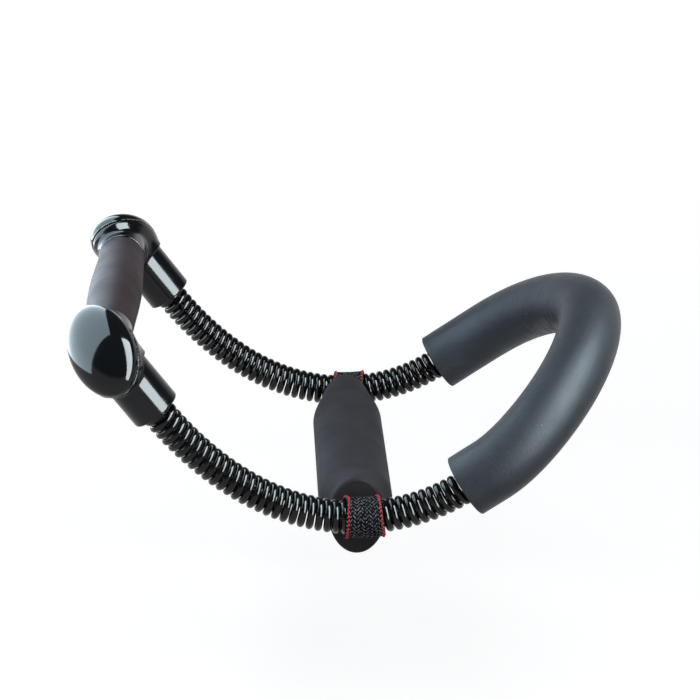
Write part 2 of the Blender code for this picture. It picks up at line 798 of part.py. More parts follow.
def make_screw_washer(side_name, material):
    """The washer under the screw's head."""
    side = SIDES[side_name]
    corner, to_spring, to_grip, outward = elbow_axes(side)
    top = RECESS_DEPTH - FIT
    hole = SCREW_RADIUS + FIT
    low = top - WASHER_THICKNESS
    profile = [(hole, low), (WASHER_RADIUS, low), (WASHER_RADIUS, top), (hole, top)]
    made = add_object(f"screw_washer_{side_name}", mesh_turned(profile, SMALL_SIDES), material)
    return place_along(made, corner, to_grip)


def bend_pivot(first, last):
    """Centre of the turn that straightens a stretch of spring, seen from the side."""
    start, heading = spring_point(first, 0)
    end, end_heading = spring_point(last, 0)
    length = last - first
    turn = heading.angle(end_heading)
    straight = start + heading * length
    swing = Matrix.Rotation(-turn, 3, "Y")
    # The pivot c satisfies straight - c = swing (end - c), solved in the XZ plane
    shift = straight - swing @ end
    a = 1 - swing[0][0]
    b = -swing[0][2]
    c = -swing[2][0]
    d = 1 - swing[2][2]
    size = a * d - b * c
    return Vector(((d * shift.x - b * shift.z) / size, 0, (a * shift.z - c * shift.x) / size))


def pad_swing_centre():
    """Centre of the springs' bend at the pad, round which the straps slide along them."""
    centre, heading = spring_point(PAD_FROM_ARMREST, 0)
    return centre + side_up(heading) * PAD_BEND_RADIUS


def main():
    clear_scene()
    foam = make_material("foam_blue_grey", (0.055, 0.07, 0.082), 0.72)
    steel = make_material("steel_grey", (0.45, 0.45, 0.46), 0.35, metallic=1.0)
    lacquer = make_material("spring_black", (0.012, 0.013, 0.015), 0.22, coat=0.6)
    webbing = make_material("webbing_black", (0.03, 0.03, 0.035), 0.85)
    card = make_material("core_grey", (0.25, 0.25, 0.26), 0.7)
    gloss = make_material("fitting_black", (0.015, 0.017, 0.02), 0.12, coat=0.8)
    rubber = make_material("grip_brown_black", (0.035, 0.026, 0.025), 0.5)
    nylon = make_material("plug_black", (0.03, 0.03, 0.032), 0.5)

    make_armrest_foam(foam)
    make_armrest_rod(steel)
    handle = [make_grip_tube(steel), make_grip_sleeve(rubber)]
    springs = []
    straps = []
    for side_name in SIDES:
        make_armrest_anchor(side_name, nylon)
        springs.append(make_spring(side_name, lacquer))
        straps.append(make_strap(side_name, webbing))
        handle += [
            make_elbow(side_name, gloss),
            make_cap(side_name, gloss),
            make_spring_plug(side_name, nylon),
            make_tube_insert(side_name, steel),
            make_cap_screw(side_name, steel),
            make_screw_washer(side_name, steel),
        ]
    roller = [make_pad_foam(foam), make_pad_core(card)]

    loop_middle = PAD_FROM_ARMREST - STRAP_SHIFT
    arm_axis = bend_pivot(0, loop_middle - STRAP_WIDTH / 2)
    wrist_axis = bend_pivot(loop_middle + STRAP_WIDTH / 2, SPRING_REACH)
    carry(join_axis("axis_spring_bend_arm", arm_axis), springs)
    carry(join_axis("axis_spring_bend_wrist", wrist_axis), handle)
    carry(join_axis("axis_pad_slide", pad_swing_centre()), straps)
    carry(join_axis("axis_pad_roll", pad_place()), roller)
    for empty_name, place in (
        ("spring_bend_arm", arm_axis),
        ("spring_bend_wrist", wrist_axis),
        ("pad_slide", pad_swing_centre()),
        ("pad_roll", pad_place()),
    ):
        print(f"{empty_name} axis at x {place.x:.5f} z {place.z:.5f}")


main()
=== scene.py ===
"""Wrist trainer looks: finished surfaces, materials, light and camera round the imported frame.

X runs along the forearm with the grip at -X, Y runs across and Z is up, all in metres.
Each surface is a grid of points worked out from two numbers, such as place along and turn round.
"""

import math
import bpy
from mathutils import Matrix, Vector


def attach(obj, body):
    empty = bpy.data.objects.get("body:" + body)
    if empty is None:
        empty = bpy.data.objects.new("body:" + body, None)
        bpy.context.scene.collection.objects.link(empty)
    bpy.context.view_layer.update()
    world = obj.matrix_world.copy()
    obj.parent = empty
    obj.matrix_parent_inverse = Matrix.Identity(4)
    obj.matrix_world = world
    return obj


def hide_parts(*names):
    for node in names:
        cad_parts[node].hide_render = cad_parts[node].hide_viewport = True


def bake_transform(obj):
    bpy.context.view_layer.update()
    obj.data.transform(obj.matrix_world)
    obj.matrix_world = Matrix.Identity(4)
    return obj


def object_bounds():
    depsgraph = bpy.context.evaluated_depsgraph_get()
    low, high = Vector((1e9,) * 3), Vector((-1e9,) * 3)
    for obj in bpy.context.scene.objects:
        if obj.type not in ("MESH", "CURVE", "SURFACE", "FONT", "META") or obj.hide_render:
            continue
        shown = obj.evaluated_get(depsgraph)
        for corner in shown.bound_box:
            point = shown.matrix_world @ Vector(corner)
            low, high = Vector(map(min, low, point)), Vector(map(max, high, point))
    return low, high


bl_info = {
    "name": "Wrist Trainer Looks",
    "version": (1, 0, 0),
    "blender": (4, 5, 0),
    "location": "3D View > Sidebar > Wrist Trainer",
    "description": "Builds the finished surfaces, materials, light and camera of a wrist trainer",
    "category": "Object",
}

import bpy
import numpy as np
from mathutils import Euler, Matrix, Vector

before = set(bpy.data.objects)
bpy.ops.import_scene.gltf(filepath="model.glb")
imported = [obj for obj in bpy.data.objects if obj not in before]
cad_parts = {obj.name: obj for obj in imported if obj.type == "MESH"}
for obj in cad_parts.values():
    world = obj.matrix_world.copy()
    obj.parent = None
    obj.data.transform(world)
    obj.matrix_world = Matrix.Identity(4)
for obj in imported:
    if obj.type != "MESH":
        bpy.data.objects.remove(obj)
CAD_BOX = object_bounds()

SIDES = {"left": 1, "right": -1}
ACROSS = np.array([0.0, 1.0, 0.0])
FINE_STEPS = 2000


# Settings


def length(name, description, default):
    """A length in metres, never below zero."""
    return bpy.props.FloatProperty(
        name=name, description=description, default=default, min=0, precision=5, unit="LENGTH"
    )


def degrees(name, description, default):
    """An angle, with its default in degrees."""
    return bpy.props.FloatProperty(
        name=name, description=description, default=math.radians(default), subtype="ANGLE"
    )


def number(name, description, default, low, high):
    """A plain number between two limits."""
    return bpy.props.FloatProperty(
        name=name, description=description, default=default, min=low, max=high
    )


def colour(name, description, default):
    """A linear colour."""
    return bpy.props.FloatVectorProperty(
        name=name, description=description, default=default, size=3, min=0, max=1, subtype="COLOR"
    )


class ArmrestSettings(bpy.types.PropertyGroup):
    """Sizes and colour of the U-shaped foam sleeve."""

    spacing: length("Spacing", "Distance between the two springs' middle lines", 0.160)
    foam_radius: length("Foam radius", "Outer radius of the foam sleeve", 0.01625)
    foam_edge: length("Cut edge", "Rounding of the sleeve's cut ends", 0.0007)
    bore_radius: length("Bore radius", "Radius of the bore that the rod runs in", 0.0053)
    pocket_radius: length("Pocket radius", "Radius of the hole that the spring enters", 0.009)
    leg_straight: length("Straight leg", "Straight length at each leg's end", 0.015)
    tilt: degrees("Tilt", "Rise of the bow's plane", 42.1)
    drop: degrees("Drop", "How much less the leg's end rises", 8)
    drop_reach: length("Drop reach", "Distance from the leg's end over which the drop fades", 0.045)
    bow_depth: length("Bow depth", "How far the bow reaches beyond the straight legs", 0.0777)
    bow_power: number("Bow power", "Exponent of the bow's superellipse", 1.8, 1, 4)
    crease_depth: length("Crease depth", "Depth of the creases inside the bends", 0.0006)
    foam_colour: colour("Foam", "Colour of the armrest's foam", (0.050, 0.060, 0.073))


class SpringSettings(bpy.types.PropertyGroup):
    """Sizes and colour of the two coil springs."""

    coil_radius: length("Coil radius", "Radius from the spring's middle line to the wire's middle", 0.00658)
    wire_radius: length("Wire radius", "Radius of the wire with its lacquer", 0.00192)
    turns: bpy.props.IntProperty(name="Turns", description="Turns of wire in one spring", default=41, min=1)
    seat: length("Seat", "Depth that each spring end sits in its socket", 0.006)
    end_bend: length("End bend", "Length over which the wire's end turns straight", 0.0021)
    fit: length("Fit", "Gap at the ends of the wire", 0.0003)
    arm_side: length("Even bend", "Length of spring with an even bend, from the armrest on", 0.0698)
    wrist_side: length("Easing bend", "Length of spring with an easing bend, up to the grip", 0.1056)
    pad_bend: length("Bend at the pad", "Radius of the even bend", 0.0928)
    grip_bend: length("Bend at the grip", "Radius of the bend at the grip", 0.2369)
    lacquer_colour: colour("Lacquer", "Colour of the springs' lacquer", (0.004, 0.0045, 0.0055))


class PadSettings(bpy.types.PropertyGroup):
    """Sizes and colours of the foam roller, its webbing loops and their stitching."""

    from_armrest: length("From armrest", "Place of the pad along the springs, from the armrest", 0.056)
    drop: length("Drop", "Distance of the roller's axis below the springs", 0.006)
    radius: length("Radius", "Radius of the roller", 0.019)
    end_half_width: length("End half width", "Half width of the drawn-in ends", 0.0143)
    end_half_height: length("End half height", "Half height of the drawn-in ends", 0.0213)
    pinch_length: length("Pinch length", "Length over which each end is drawn in", 0.020)
    to_spring: length("To spring", "From the roller's end face to the spring's middle line", 0.0125)
    edge: length("Edge", "Rounding of the roller's ends", 0.0018)
    bore_radius: length("Bore radius", "Radius of the roller's bore", 0.0123)
    mouth_radius: length("Mouth radius", "Radius of the bore at the roller's end faces", 0.0108)
    strap_width: length("Webbing width", "Width of the webbing", 0.019)
    strap_thickness: length("Webbing thickness", "Thickness of the webbing", 0.0013)
    strap_fit: length("Webbing fit", "Gap between the spring and the webbing", 0.0004)
    strap_tail: length("Webbing tail", "Length of webbing inside the roller", 0.026)
    strap_shift: length("Webbing shift", "How far the loop is drawn towards the armrest", 0.0028)
    strap_travel: length("Webbing travel", "Even stretch of spring kept for the loop to slide on", 0.009)
    foam_colour: colour("Foam", "Colour of the roller's foam", (0.040, 0.037, 0.043))
    webbing_colour: colour("Webbing", "Ground colour of the webbing", (0.002, 0.0025, 0.004))
    fleck_colour: colour("Yarn", "Colour of the light yarns", (0.22, 0.235, 0.26))
    thread_colour: colour("Thread", "Colour of the sewing thread", (0.90, 0.036, 0.030))


class FittingSettings(bpy.types.PropertyGroup):
    """Sizes and colour of the elbows, their caps and the grip."""

    to_sleeve_end: length("To sleeve end", "From the corner to the sleeve's end", 0.0387)
    sleeve_rise: length("Sleeve rise", "Height of the sleeve's axis over the corner", 0.0012)
    sleeve_radius: length("Sleeve radius", "Outer radius of the sleeve round the spring", 0.0124)
    socket_radius: length("Socket radius", "Radius of the hole that the spring enters", 0.009)
    socket_depth: length("Socket depth", "Depth of that hole", 0.017)
    collar_from_corner: length("Collar place", "From the corner to the collar", 0.0077)
    collar_length: length("Collar length", "Length of the collar", 0.005)
    collar_height: length("Collar height", "How far the collar stands proud", 0.0016)
    barrel_radius: length("Barrel radius", "Radius of the barrel at the corner", 0.0132)
    barrel_end_radius: length("Barrel end radius", "Radius of the barrel beside the grip", 0.0125)
    barrel_length: length("Barrel length", "From the corner to the barrel's end", 0.025)
    tube_radius: length("Tube radius", "Radius of the grip's tube, with its gap", 0.0083)
    corner_half_length: length("Corner half length", "Half length of the oval corner", 0.0252)
    corner_half_width: length("Corner half width", "Half width of the oval corner", 0.0165)
    corner_depth: length("Corner depth", "Depth of the swollen corner behind the cap", 0.010)
    bend_radius: length("Bend radius", "Radius of the line that the corner is lofted on", 0.016)
    fillet: length("Fillet", "Blend between the corner and its two tubes", 0.003)
    cap_bulge: length("Cap bulge", "Height of the cap over the mitre", 0.0115)
    cap_rim: length("Cap rim", "Height of the cap's upright rim", 0.0016)
    cap_gap: length("Cap gap", "Gap under the cap", 0.0003)
    grip_end_radius: length("Grip end radius", "Radius of the grip beside the barrels", 0.0122)
    grip_middle_radius: length("Grip middle radius", "Radius of the grip in the palm", 0.0136)
    fitting_colour: colour("Fittings", "Colour of the moulded fittings", (0.006, 0.0075, 0.009))
    grip_colour: colour("Grip", "Colour of the grip", (0.042, 0.030, 0.033))


class StageSettings(bpy.types.PropertyGroup):
    """Place of the camera, and place and look of the floor."""

    camera_distance: length("Camera distance", "From the camera to what it looks at", 0.9236)
    camera_lens: number("Lens", "Focal length on a 36 mm sensor, in millimetres", 99.29, 1, 500)
    camera_elevation: degrees("Elevation", "Height angle of the camera", 22.13)
    camera_azimuth: degrees("Azimuth", "Turn of the camera", -2.59)
    target_from_leg: bpy.props.FloatVectorProperty(
        name="Target",
        description="What the camera looks at, from the end of the leg's middle line",
        default=(-0.05711, -0.0805, 0.0739),
        size=3,
        subtype="TRANSLATION",
    )
    floor_drop: length("Floor drop", "Distance of the floor below the frame's lowest point", 0.110)
    floor_colour: colour("Floor", "Colour of the floor", (0.50, 0.50, 0.505))
    floor_glow: number("Floor glow", "Brightness added to the floor near the object", 0.72, 0, 1)


# Lines that the pieces follow


def unit(vectors):
    """Vectors scaled to length one along their last axis."""
    return vectors / np.linalg.norm(vectors, axis=-1, keepdims=True)


def running_sum(values):
    """Sum of each value and those before it, starting from nothing."""
    return np.concatenate(([0.0], np.cumsum(values)))


def along_line(distance, walked, line):
    """Points at distances along a line whose own points lie at the walked distances."""
    return np.stack([np.interp(distance, walked, part) for part in line.T], axis=-1)


def evenly(line, count):
    """Evenly spaced points of a line, with the distance walked to each."""
    walked = running_sum(np.linalg.norm(np.diff(line, axis=0), axis=1))
    even = np.linspace(0, walked[-1], count)
    return along_line(even, walked, line), even


def march(angles, step):
    """X and Z of a line that heads along each angle in turn: running sums of its cosines and sines."""
    middle = (angles[1:] + angles[:-1]) / 2
    return running_sum(np.cos(middle) * step), running_sum(np.sin(middle) * step)


def leg_side(sizes):
    """Side view of a leg: its slope is the tilt less a drop that fades with the square of the way left."""
    reach = sizes.leg_straight + sizes.bow_depth
    distance = np.linspace(0, reach, FINE_STEPS + 1)
    left = sizes.drop_reach - np.maximum(distance, sizes.leg_straight)
    share = np.clip(left / (sizes.drop_reach - sizes.leg_straight), 0, 1)
    slope = sizes.tilt - sizes.drop * share**2
    x, z = march(slope, reach / FINE_STEPS)
    x += math.cos(sizes.tilt) * sizes.foam_radius - x[-1]
    z += math.sin(sizes.tilt) * sizes.foam_radius - z[-1]
    return distance, x, z, slope


def armrest_line(sizes, count):
    """Evenly spaced points of the U: straight legs joined by half a superellipse, laid on the side view."""
    half = sizes.spacing / 2
    leg_steps = 60
    turn = np.linspace(-math.pi / 2, math.pi / 2, FINE_STEPS)
    along = np.abs(np.cos(turn))
    across = np.sin(turn)
    size = (along**sizes.bow_power + np.abs(across) ** sizes.bow_power) ** (-1 / sizes.bow_power)
    leg = np.linspace(0, sizes.leg_straight, leg_steps, endpoint=False)
    reach = np.concatenate((leg, sizes.leg_straight + sizes.bow_depth * size * along, leg[::-1]))
    sideways = np.concatenate((np.full(leg_steps, -half), half * size * across, np.full(leg_steps, half)))
    distance, x, z = leg_side(sizes)[:3]
    line = np.stack((np.interp(reach, distance, x), sideways, np.interp(reach, distance, z)), axis=1)
    return evenly(line, count)


def spring_reach(springs):
    """Length of a spring's middle line from the armrest to the elbow."""
    return springs.arm_side + springs.wrist_side


def spring_side(scene):
    """Side view of a spring: its heading turns by a bend that is even, then eases towards the grip."""
    springs = scene.wrist_springs
    reach = spring_reach(springs)
    distance = np.linspace(0, reach, FINE_STEPS + 1)
    bends = (1 / springs.pad_bend, 1 / springs.pad_bend, 1 / springs.grip_bend)
    bend = np.interp(distance, (0, springs.arm_side, reach), bends)
    step = reach / FINE_STEPS
    leg_x, leg_z, slope = leg_side(scene.wrist_armrest)[1:]
    angle = math.pi + slope[0] - running_sum((bend[1:] + bend[:-1]) / 2 * step)
    x, z = march(angle, step)
    return distance, x + leg_x[0], z + leg_z[0], angle


def spring_frames(distance, side, scene):
    """Middle points of a spring with their headings and upward sides, straight on beyond both ends."""
    table, x, z, angle = spring_side(scene)
    inside = np.clip(distance, 0, table[-1])
    heading_angle = np.interp(inside, table, angle)
    heading = np.stack((np.cos(heading_angle), np.zeros_like(inside), np.sin(heading_angle)), axis=-1)
    sideways = np.full_like(inside, side * scene.wrist_armrest.spacing / 2)
    centre = np.stack((np.interp(inside, table, x), sideways, np.interp(inside, table, z)), axis=-1)
    centre = centre + heading * np.asarray(distance - inside)[..., None]
    return centre, heading, np.cross(ACROSS, heading)


def corner_frame(side, scene):
    """Corner point of an elbow and its directions to the spring, to the grip and up, square to both."""
    springs, fittings = scene.wrist_springs, scene.wrist_fittings
    centre, heading, up = spring_frames(np.array([spring_reach(springs)]), side, scene)
    corner = centre[0] + heading[0] * fittings.to_sleeve_end - up[0] * fittings.sleeve_rise
    return corner, -heading[0], ACROSS * -side, up[0]


# Surfaces


def add_object(name, data):
    """An object in the scene that shows a mesh, a camera or a light."""
    made = bpy.data.objects.new(name, data)
    bpy.context.scene.collection.objects.link(made)
    return made


def add_piece(name, points, faces, material, uv=None, sharp=40):
    """Put points and faces, turned to face outwards, into a smooth-shaded mesh at the origin."""
    quads = np.asarray([face for face in faces if len(face) == 4])
    a, b, c, d = (points[quads[:, i]] for i in range(4))
    volume = np.sum(a * np.cross(b, c)) + np.sum(a * np.cross(c, d))
    flip = volume < 0
    ordered = [face[::-1] if flip else face for face in faces]
    mesh = bpy.data.meshes.new(name)
    mesh.from_pydata(points.tolist(), [], ordered)
    if uv is not None:
        layer = mesh.uv_layers.new(name="UVMap")
        corners = np.concatenate([places[::-1] if flip else places for places in uv])
        layer.data.foreach_set("uv", corners.astype(np.float32).ravel())
    mesh.materials.append(material)
    mesh.update()
    mesh.shade_smooth()
    mesh.set_sharp_from_angle(angle=math.radians(sharp))
    return add_object(name, mesh)


def grid_faces(rows, columns, closed, start=0):
    """Quads between neighbouring rows, round their columns, and on to the first row if closed."""
    low = np.arange(rows if closed else rows - 1)
    high = (low + 1) % rows
    near = np.arange(columns)
    far = (near + 1) % columns
    corners = (
        low[:, None] * columns + near,
        low[:, None] * columns + far,
        high[:, None] * columns + far,
        high[:, None] * columns + near,
    )
    return (np.stack([part.ravel() for part in corners], axis=1) + start).tolist()


def note_points(made, name, values):
    """Keep one number for each point of a piece, under a name that its material reads."""
    layer = made.data.attributes.new(name, "FLOAT", "POINT")
    layer.data.foreach_set("value", np.asarray(values, np.float32).ravel())


def add_loft(name, rings, material, closed=False, row_place=None, column_place=None, sharp=40):
    """Bridge rings of points, given as rows by columns by three, into a closed or capped body."""
    rows, columns = rings.shape[:2]
    faces = grid_faces(rows, columns, closed)
    uv = None
    if row_place is not None:
        low, near = np.mgrid[: rows - 1, :columns]
        u = np.stack([row_place[low + step] for step in (0, 0, 1, 1)], axis=-1)
        v = np.stack([column_place[near + step] for step in (0, 1, 1, 0)], axis=-1)
        uv = list(np.stack((u, v), axis=-1).reshape(-1, 4, 2))
    if not closed:
        faces.append(list(range(columns)))
        faces.append(list(range((rows - 1) * columns, rows * columns)))
        if uv is not None:
            uv += [np.zeros((columns, 2)), np.zeros((columns, 2))]
    return add_piece(name, rings.reshape(-1, 3), faces, material, uv, sharp)


def spokes_round(first, second, turns):
    """Directions round a line: first side times cosine plus second side times sine."""
    return first[..., None, :] * np.cos(turns)[:, None] + second[..., None, :] * np.sin(turns)[:, None]


def rings_round(centres, first, second, radius, turns):
    """Rings round centres, each with its own radius."""
    return centres[:, None] + spokes_round(first, second, turns) * radius[..., None]


def full_turn(count):
    """Evenly spaced turns round a ring."""
    return np.arange(count) * math.tau / count


def rounded_end(radius, place, edge, outward, steps=6):
    """Profile points of a quarter round from a wall into an end face. Outward is the end's direction."""
    turn = np.linspace(0, math.pi / 2, steps)
    out = radius - edge + edge * np.cos(turn)
    return np.stack((out, place - outward * edge * (1 - np.sin(turn))), axis=1)


# Shader node groups


class Tree:
    """Short ways to add and join nodes in one node tree."""

    def __init__(self, tree):
        self.tree = tree

    def node(self, kind, inputs=None, **settings):
        made = self.tree.nodes.new("ShaderNode" + kind)
        for name, value in settings.items():
            setattr(made, name, value)
        for key, value in (inputs or {}).items():
            self.join(value, made.inputs[key])
        return made

    def join(self, value, socket):
        """Link an output to a socket, or set the socket to a plain value."""
        if isinstance(value, bpy.types.NodeSocket):
            self.tree.links.new(value, socket)
        else:
            socket.default_value = value

    def math(self, operation, a, b=0.0, c=0.0):
        return self.node("Math", {0: a, 1: b, 2: c}, operation=operation).outputs[0]

    def noise(self, vector, scale, detail=2.0, roughness=0.5, distortion=0.0):
        inputs = {"Vector": vector, "Scale": scale, "Detail": detail}
        inputs |= {"Roughness": roughness, "Distortion": distortion}
        return self.node("TexNoise", inputs).outputs["Fac"]

    def between(self, value, low, high, to_low=0.0, to_high=1.0):
        """Value carried from one span to another and held at its ends."""
        inputs = {"Value": value, 1: low, 2: high, 3: to_low, 4: to_high}
        return self.node("MapRange", inputs).outputs[0]

    def mix(self, factor, a, b):
        """A blend of two colours, which are the node's seventh and eighth sockets."""
        return self.node("Mix", {0: factor, 6: a, 7: b}, data_type="RGBA").outputs[2]

    def stretched(self, vector, scale):
        """The vector with each axis scaled by its own number."""
        return self.node("VectorMath", {0: vector, 1: scale}, operation="MULTIPLY").outputs[0]


def fine_cells(tree, given):
    """Skin of closed-cell foam: tiny dimples of uneven depth, soft mottling and a few pale specks."""
    position = given["Position"]
    per_metre = tree.math("DIVIDE", 1.0, given["Cell Size"])
    cells = tree.node("TexVoronoi", {"Vector": position, "Scale": per_metre})
    dimple = tree.between(cells.outputs["Distance"], 0.1, 0.6)
    uneven = tree.noise(position, 750.0, 3.0)
    grains = tree.node("TexVoronoi", {"Vector": position, "Scale": 260.0})
    near = tree.between(grains.outputs["Distance"], 0.05, 0.09, 1.0, 0.0)
    pick = tree.node("SeparateColor", {0: grains.outputs["Color"]}).outputs[0]
    chosen = tree.math("LESS_THAN", pick, given["Speck Share"])
    return {
        "Height": tree.math("MULTIPLY_ADD", dimple, 0.5, uneven),
        "Mottle": tree.between(tree.noise(position, 55.0, 4.0, 0.6), 0.3, 0.7),
        "Speck": tree.math("MULTIPLY", near, chosen),
    }


def moulded_gloss(tree, given):
    """Moulded or dipped gloss: a faint ripple in the surface, dull patches and fine scratches."""
    position = given["Position"]
    lines = tree.noise(tree.stretched(position, (1400.0, 160.0, 420.0)), 1.0, 2.0, 0.5, 0.6)
    hairline = tree.between(tree.math("ABSOLUTE", tree.math("SUBTRACT", lines, 0.5)), 0.0, 0.006, 1.0, 0.0)
    patches = tree.between(tree.noise(position, 45.0, 2.0), 0.52, 0.62)
    return {
        "Height": tree.noise(position, given["Ripple Scale"], 1.0),
        "Dullness": tree.between(tree.noise(position, 70.0, 5.0, 0.65), 0.4, 0.75),
        "Scratch": tree.math("MULTIPLY", tree.math("MULTIPLY", hairline, patches), given["Scratch Share"]),
    }


def herringbone(tree, given):
    """Herringbone webbing: slanted floats whose slant turns over from one rib to the next."""
    place = tree.node("SeparateXYZ", {0: given["Place"]})
    along, across = place.outputs[0], place.outputs[1]
    rib = tree.math("PINGPONG", across, given["Rib Width"])
    rib_share = tree.math("DIVIDE", rib, given["Rib Width"])
    rib_crown = tree.math("SINE", tree.math("MULTIPLY", rib_share, math.pi))
    shift = tree.noise(given["Place"], 900.0, 2.0)
    slanted = tree.math("MULTIPLY_ADD", rib, 1.15, along)
    slanted = tree.math("MULTIPLY_ADD", shift, 0.0006, slanted)
    wave = tree.math("FRACT", tree.math("DIVIDE", slanted, given["Float Pitch"]))
    ridge = tree.math("SINE", tree.math("MULTIPLY", wave, math.pi))
    yarn = tree.math("FRACT", tree.math("DIVIDE", across, 0.0008))
    yarn_crown = tree.math("SINE", tree.math("MULTIPLY", yarn, math.pi))
    lit = tree.math("MULTIPLY", tree.between(ridge, 0.70, 0.90), tree.between(rib_crown, 0.05, 0.45))
    patches = tree.noise(tree.stretched(given["Place"], (900.0, 1100.0, 1.0)), 1.0, 1.0)
    broken = tree.between(patches, 0.43, 0.55)
    return {
        "Height": tree.math("MULTIPLY", ridge, tree.math("MULTIPLY_ADD", yarn_crown, 0.5, 0.5)),
        "Fleck": tree.math("MULTIPLY", lit, broken),
    }


# Each group: what builds it, its vector input, and its other inputs with their defaults
GROUPS = {
    "fine_cells": (fine_cells, "Position", {"Cell Size": 0.0005, "Speck Share": 0.035}),
    "moulded_gloss": (moulded_gloss, "Position", {"Ripple Scale": 90.0, "Scratch Share": 0.4}),
    "herringbone": (herringbone, "Place", {"Rib Width": 0.0021, "Float Pitch": 0.0020}),
}


def add_socket(tree, name, way, kind="NodeSocketFloat"):
    """A named socket on a node group."""
    return tree.interface.new_socket(name, in_out=way, socket_type=kind)


def group(name):
    """The named node group, built the first time it is asked for."""
    if name in bpy.data.node_groups:
        return bpy.data.node_groups[name]
    builder, vector, numbers = GROUPS[name]
    made = bpy.data.node_groups.new(name, "ShaderNodeTree")
    add_socket(made, vector, "INPUT", "NodeSocketVector")
    for socket_name, value in numbers.items():
        add_socket(made, socket_name, "INPUT").default_value = value
    tree = Tree(made)
    sent = builder(tree, made.nodes.new("NodeGroupInput").outputs)
    for socket_name in sent:
        add_socket(made, socket_name, "OUTPUT")
    sink = made.nodes.new("NodeGroupOutput")
    for socket_name, value in sent.items():
        tree.join(value, sink.inputs[socket_name])
    return made


# Materials


class MaterialTree(Tree):
    """A Principled material with constant sockets, and the position to build its pattern on."""

    def __init__(self, name, base, roughness, **constants):
        self.material = bpy.data.materials.new(name)
        self.material.use_nodes = True
        self.material.diffuse_color = (*base, 1)
        super().__init__(self.material.node_tree)
        self.sockets = self.tree.nodes["Principled BSDF"].inputs
        self.join((*base, 1), self.sockets["Base Color"])
        self.join(roughness, self.sockets["Roughness"])
        for socket_name, value in constants.items():
            self.join(value, self.sockets[socket_name.replace("_", " ")])
        self.position = self.node("TexCoord").outputs["Object"]

    def finish(self, tint, roughness, height, distance, strength=1.0):
        """The material with its colour, its roughness and a bump from a height in units of distance."""
        bump = self.node("Bump", {"Height": height, "Distance": distance, "Strength": strength})
        self.join(tint, self.sockets["Base Color"])
        self.join(roughness, self.sockets["Roughness"])
        self.join(bump.outputs[0], self.sockets["Normal"])
        return self.material


def shaded(tint, factor):
    """A colour made lighter or darker by a factor."""
    return (*(min(part * factor, 1.0) for part in tint), 1.0)


def foam_material(name, tint, rough, shine):
    """Matte closed-cell foam with a soft sheen, and a painted highlight that lightens the crease tips."""
    sheen = {"Sheen_Weight": 0.03, "Sheen_Roughness": 0.45, "Sheen_Tint": (0.75, 0.85, 1.0, 1.0)}
    tree = MaterialTree(name, tint, rough, Specular_IOR_Level=shine, **sheen)
    cells = tree.node("Group", {"Position": tree.position}, node_tree=group("fine_cells")).outputs
    mottled = tree.mix(cells["Mottle"], shaded(tint, 0.86), shaded(tint, 1.16))
    specked = tree.mix(cells["Speck"], mottled, shaded(tint, 4.0))
    # Painted highlight: the crease tips that the armrest marks are painted lighter, broken up by fine noise.
    painted_tip_highlight = tree.node("Attribute", attribute_name="painted_tip_highlight").outputs["Fac"]
    tip_highlight_mask = tree.math("MULTIPLY", painted_tip_highlight, tree.between(tree.noise(tree.position, 900.0), 0.35, 0.6))
    dull = tree.between(cells["Mottle"], 0.0, 1.0, rough + 0.05, rough - 0.05)
    return tree.finish(tree.mix(tip_highlight_mask, specked, shaded(tint, 1.9)), dull, cells["Height"], 0.00017, 0.8)


def gloss_material(name, tint, rough, ripple, scratch, ripple_depth=0.00002):
    """Glossy black plastic or lacquer with ripples, dull patches, hairline scratches and a painted pale glint
    on a marked lip.
    """
    tree = MaterialTree(name, tint, rough, Specular_IOR_Level=0.2)
    inputs = {"Position": tree.position, "Ripple Scale": ripple, "Scratch Share": scratch}
    gloss = tree.node("Group", inputs, node_tree=group("moulded_gloss")).outputs
    dull = tree.math("MULTIPLY_ADD", gloss["Dullness"], 0.05, rough)
    dull = tree.math("MULTIPLY_ADD", gloss["Scratch"], 0.35, dull)
    scratched = tree.mix(gloss["Scratch"], shaded(tint, 1.0), shaded(tint, 5.0))
    # Painted highlight: a pale grey glint, broken up by noise, along the lip rows that the caps mark.
    painted_lip_glint = tree.node("Attribute", attribute_name="painted_lip_glint").outputs["Fac"]
    seam = tree.math("MULTIPLY", painted_lip_glint, tree.between(tree.noise(tree.position, 700.0), 0.42, 0.52))
    seam_glinted = tree.mix(seam, scratched, (0.42, 0.45, 0.47, 1.0))
    return tree.finish(seam_glinted, dull, gloss["Height"], ripple_depth)


def webbing_material(pad):
    """Black webbing with broken pale floats, read from the strip's own map in metres."""
    tint = pad.webbing_colour
    tree = MaterialTree("webbing", tint, 0.75, Specular_IOR_Level=0.02)
    place = tree.node("UVMap", uv_map="UVMap").outputs[0]
    weave = tree.node("Group", {"Place": place}, node_tree=group("herringbone")).outputs
    lit = tree.mix(weave["Fleck"], shaded(tint, 1.0), (*pad.fleck_colour, 1.0))
    dull = tree.between(weave["Fleck"], 0, 1, 0.85, 0.5)
    return tree.finish(lit, dull, weave["Height"], 0.00035, 0.9)


def thread_material(pad):
    """Twisted sewing thread: fine ply lines across a soft fibre."""
    tint = pad.thread_colour
    tree = MaterialTree("sewing_thread", tint, 0.6, Specular_IOR_Level=0.08, Sheen_Weight=0.1)
    fibres = tree.noise(tree.stretched(tree.position, (2500.0, 9000.0, 2500.0)), 1.0, 3.0)
    twisted = tree.mix(fibres, shaded(tint, 0.65), shaded(tint, 1.2))
    return tree.finish(twisted, 0.6, fibres, 0.00008, 0.8)


def grip_material(fittings):
    """Smooth satin rubber with a faint pressed grain and palm-polished patches."""
    tint = fittings.grip_colour
    tree = MaterialTree("grip_rubber", tint, 0.48, Specular_IOR_Level=0.02)
    polish = tree.noise(tree.position, 60.0, 4.0, 0.6)
    polished = tree.mix(polish, shaded(tint, 0.8), shaded(tint, 1.2))
    dull = tree.between(polish, 0.3, 0.7, 0.54, 0.42)
    return tree.finish(polished, dull, tree.noise(tree.position, 1500.0, 3.0), 0.00004, 0.6)


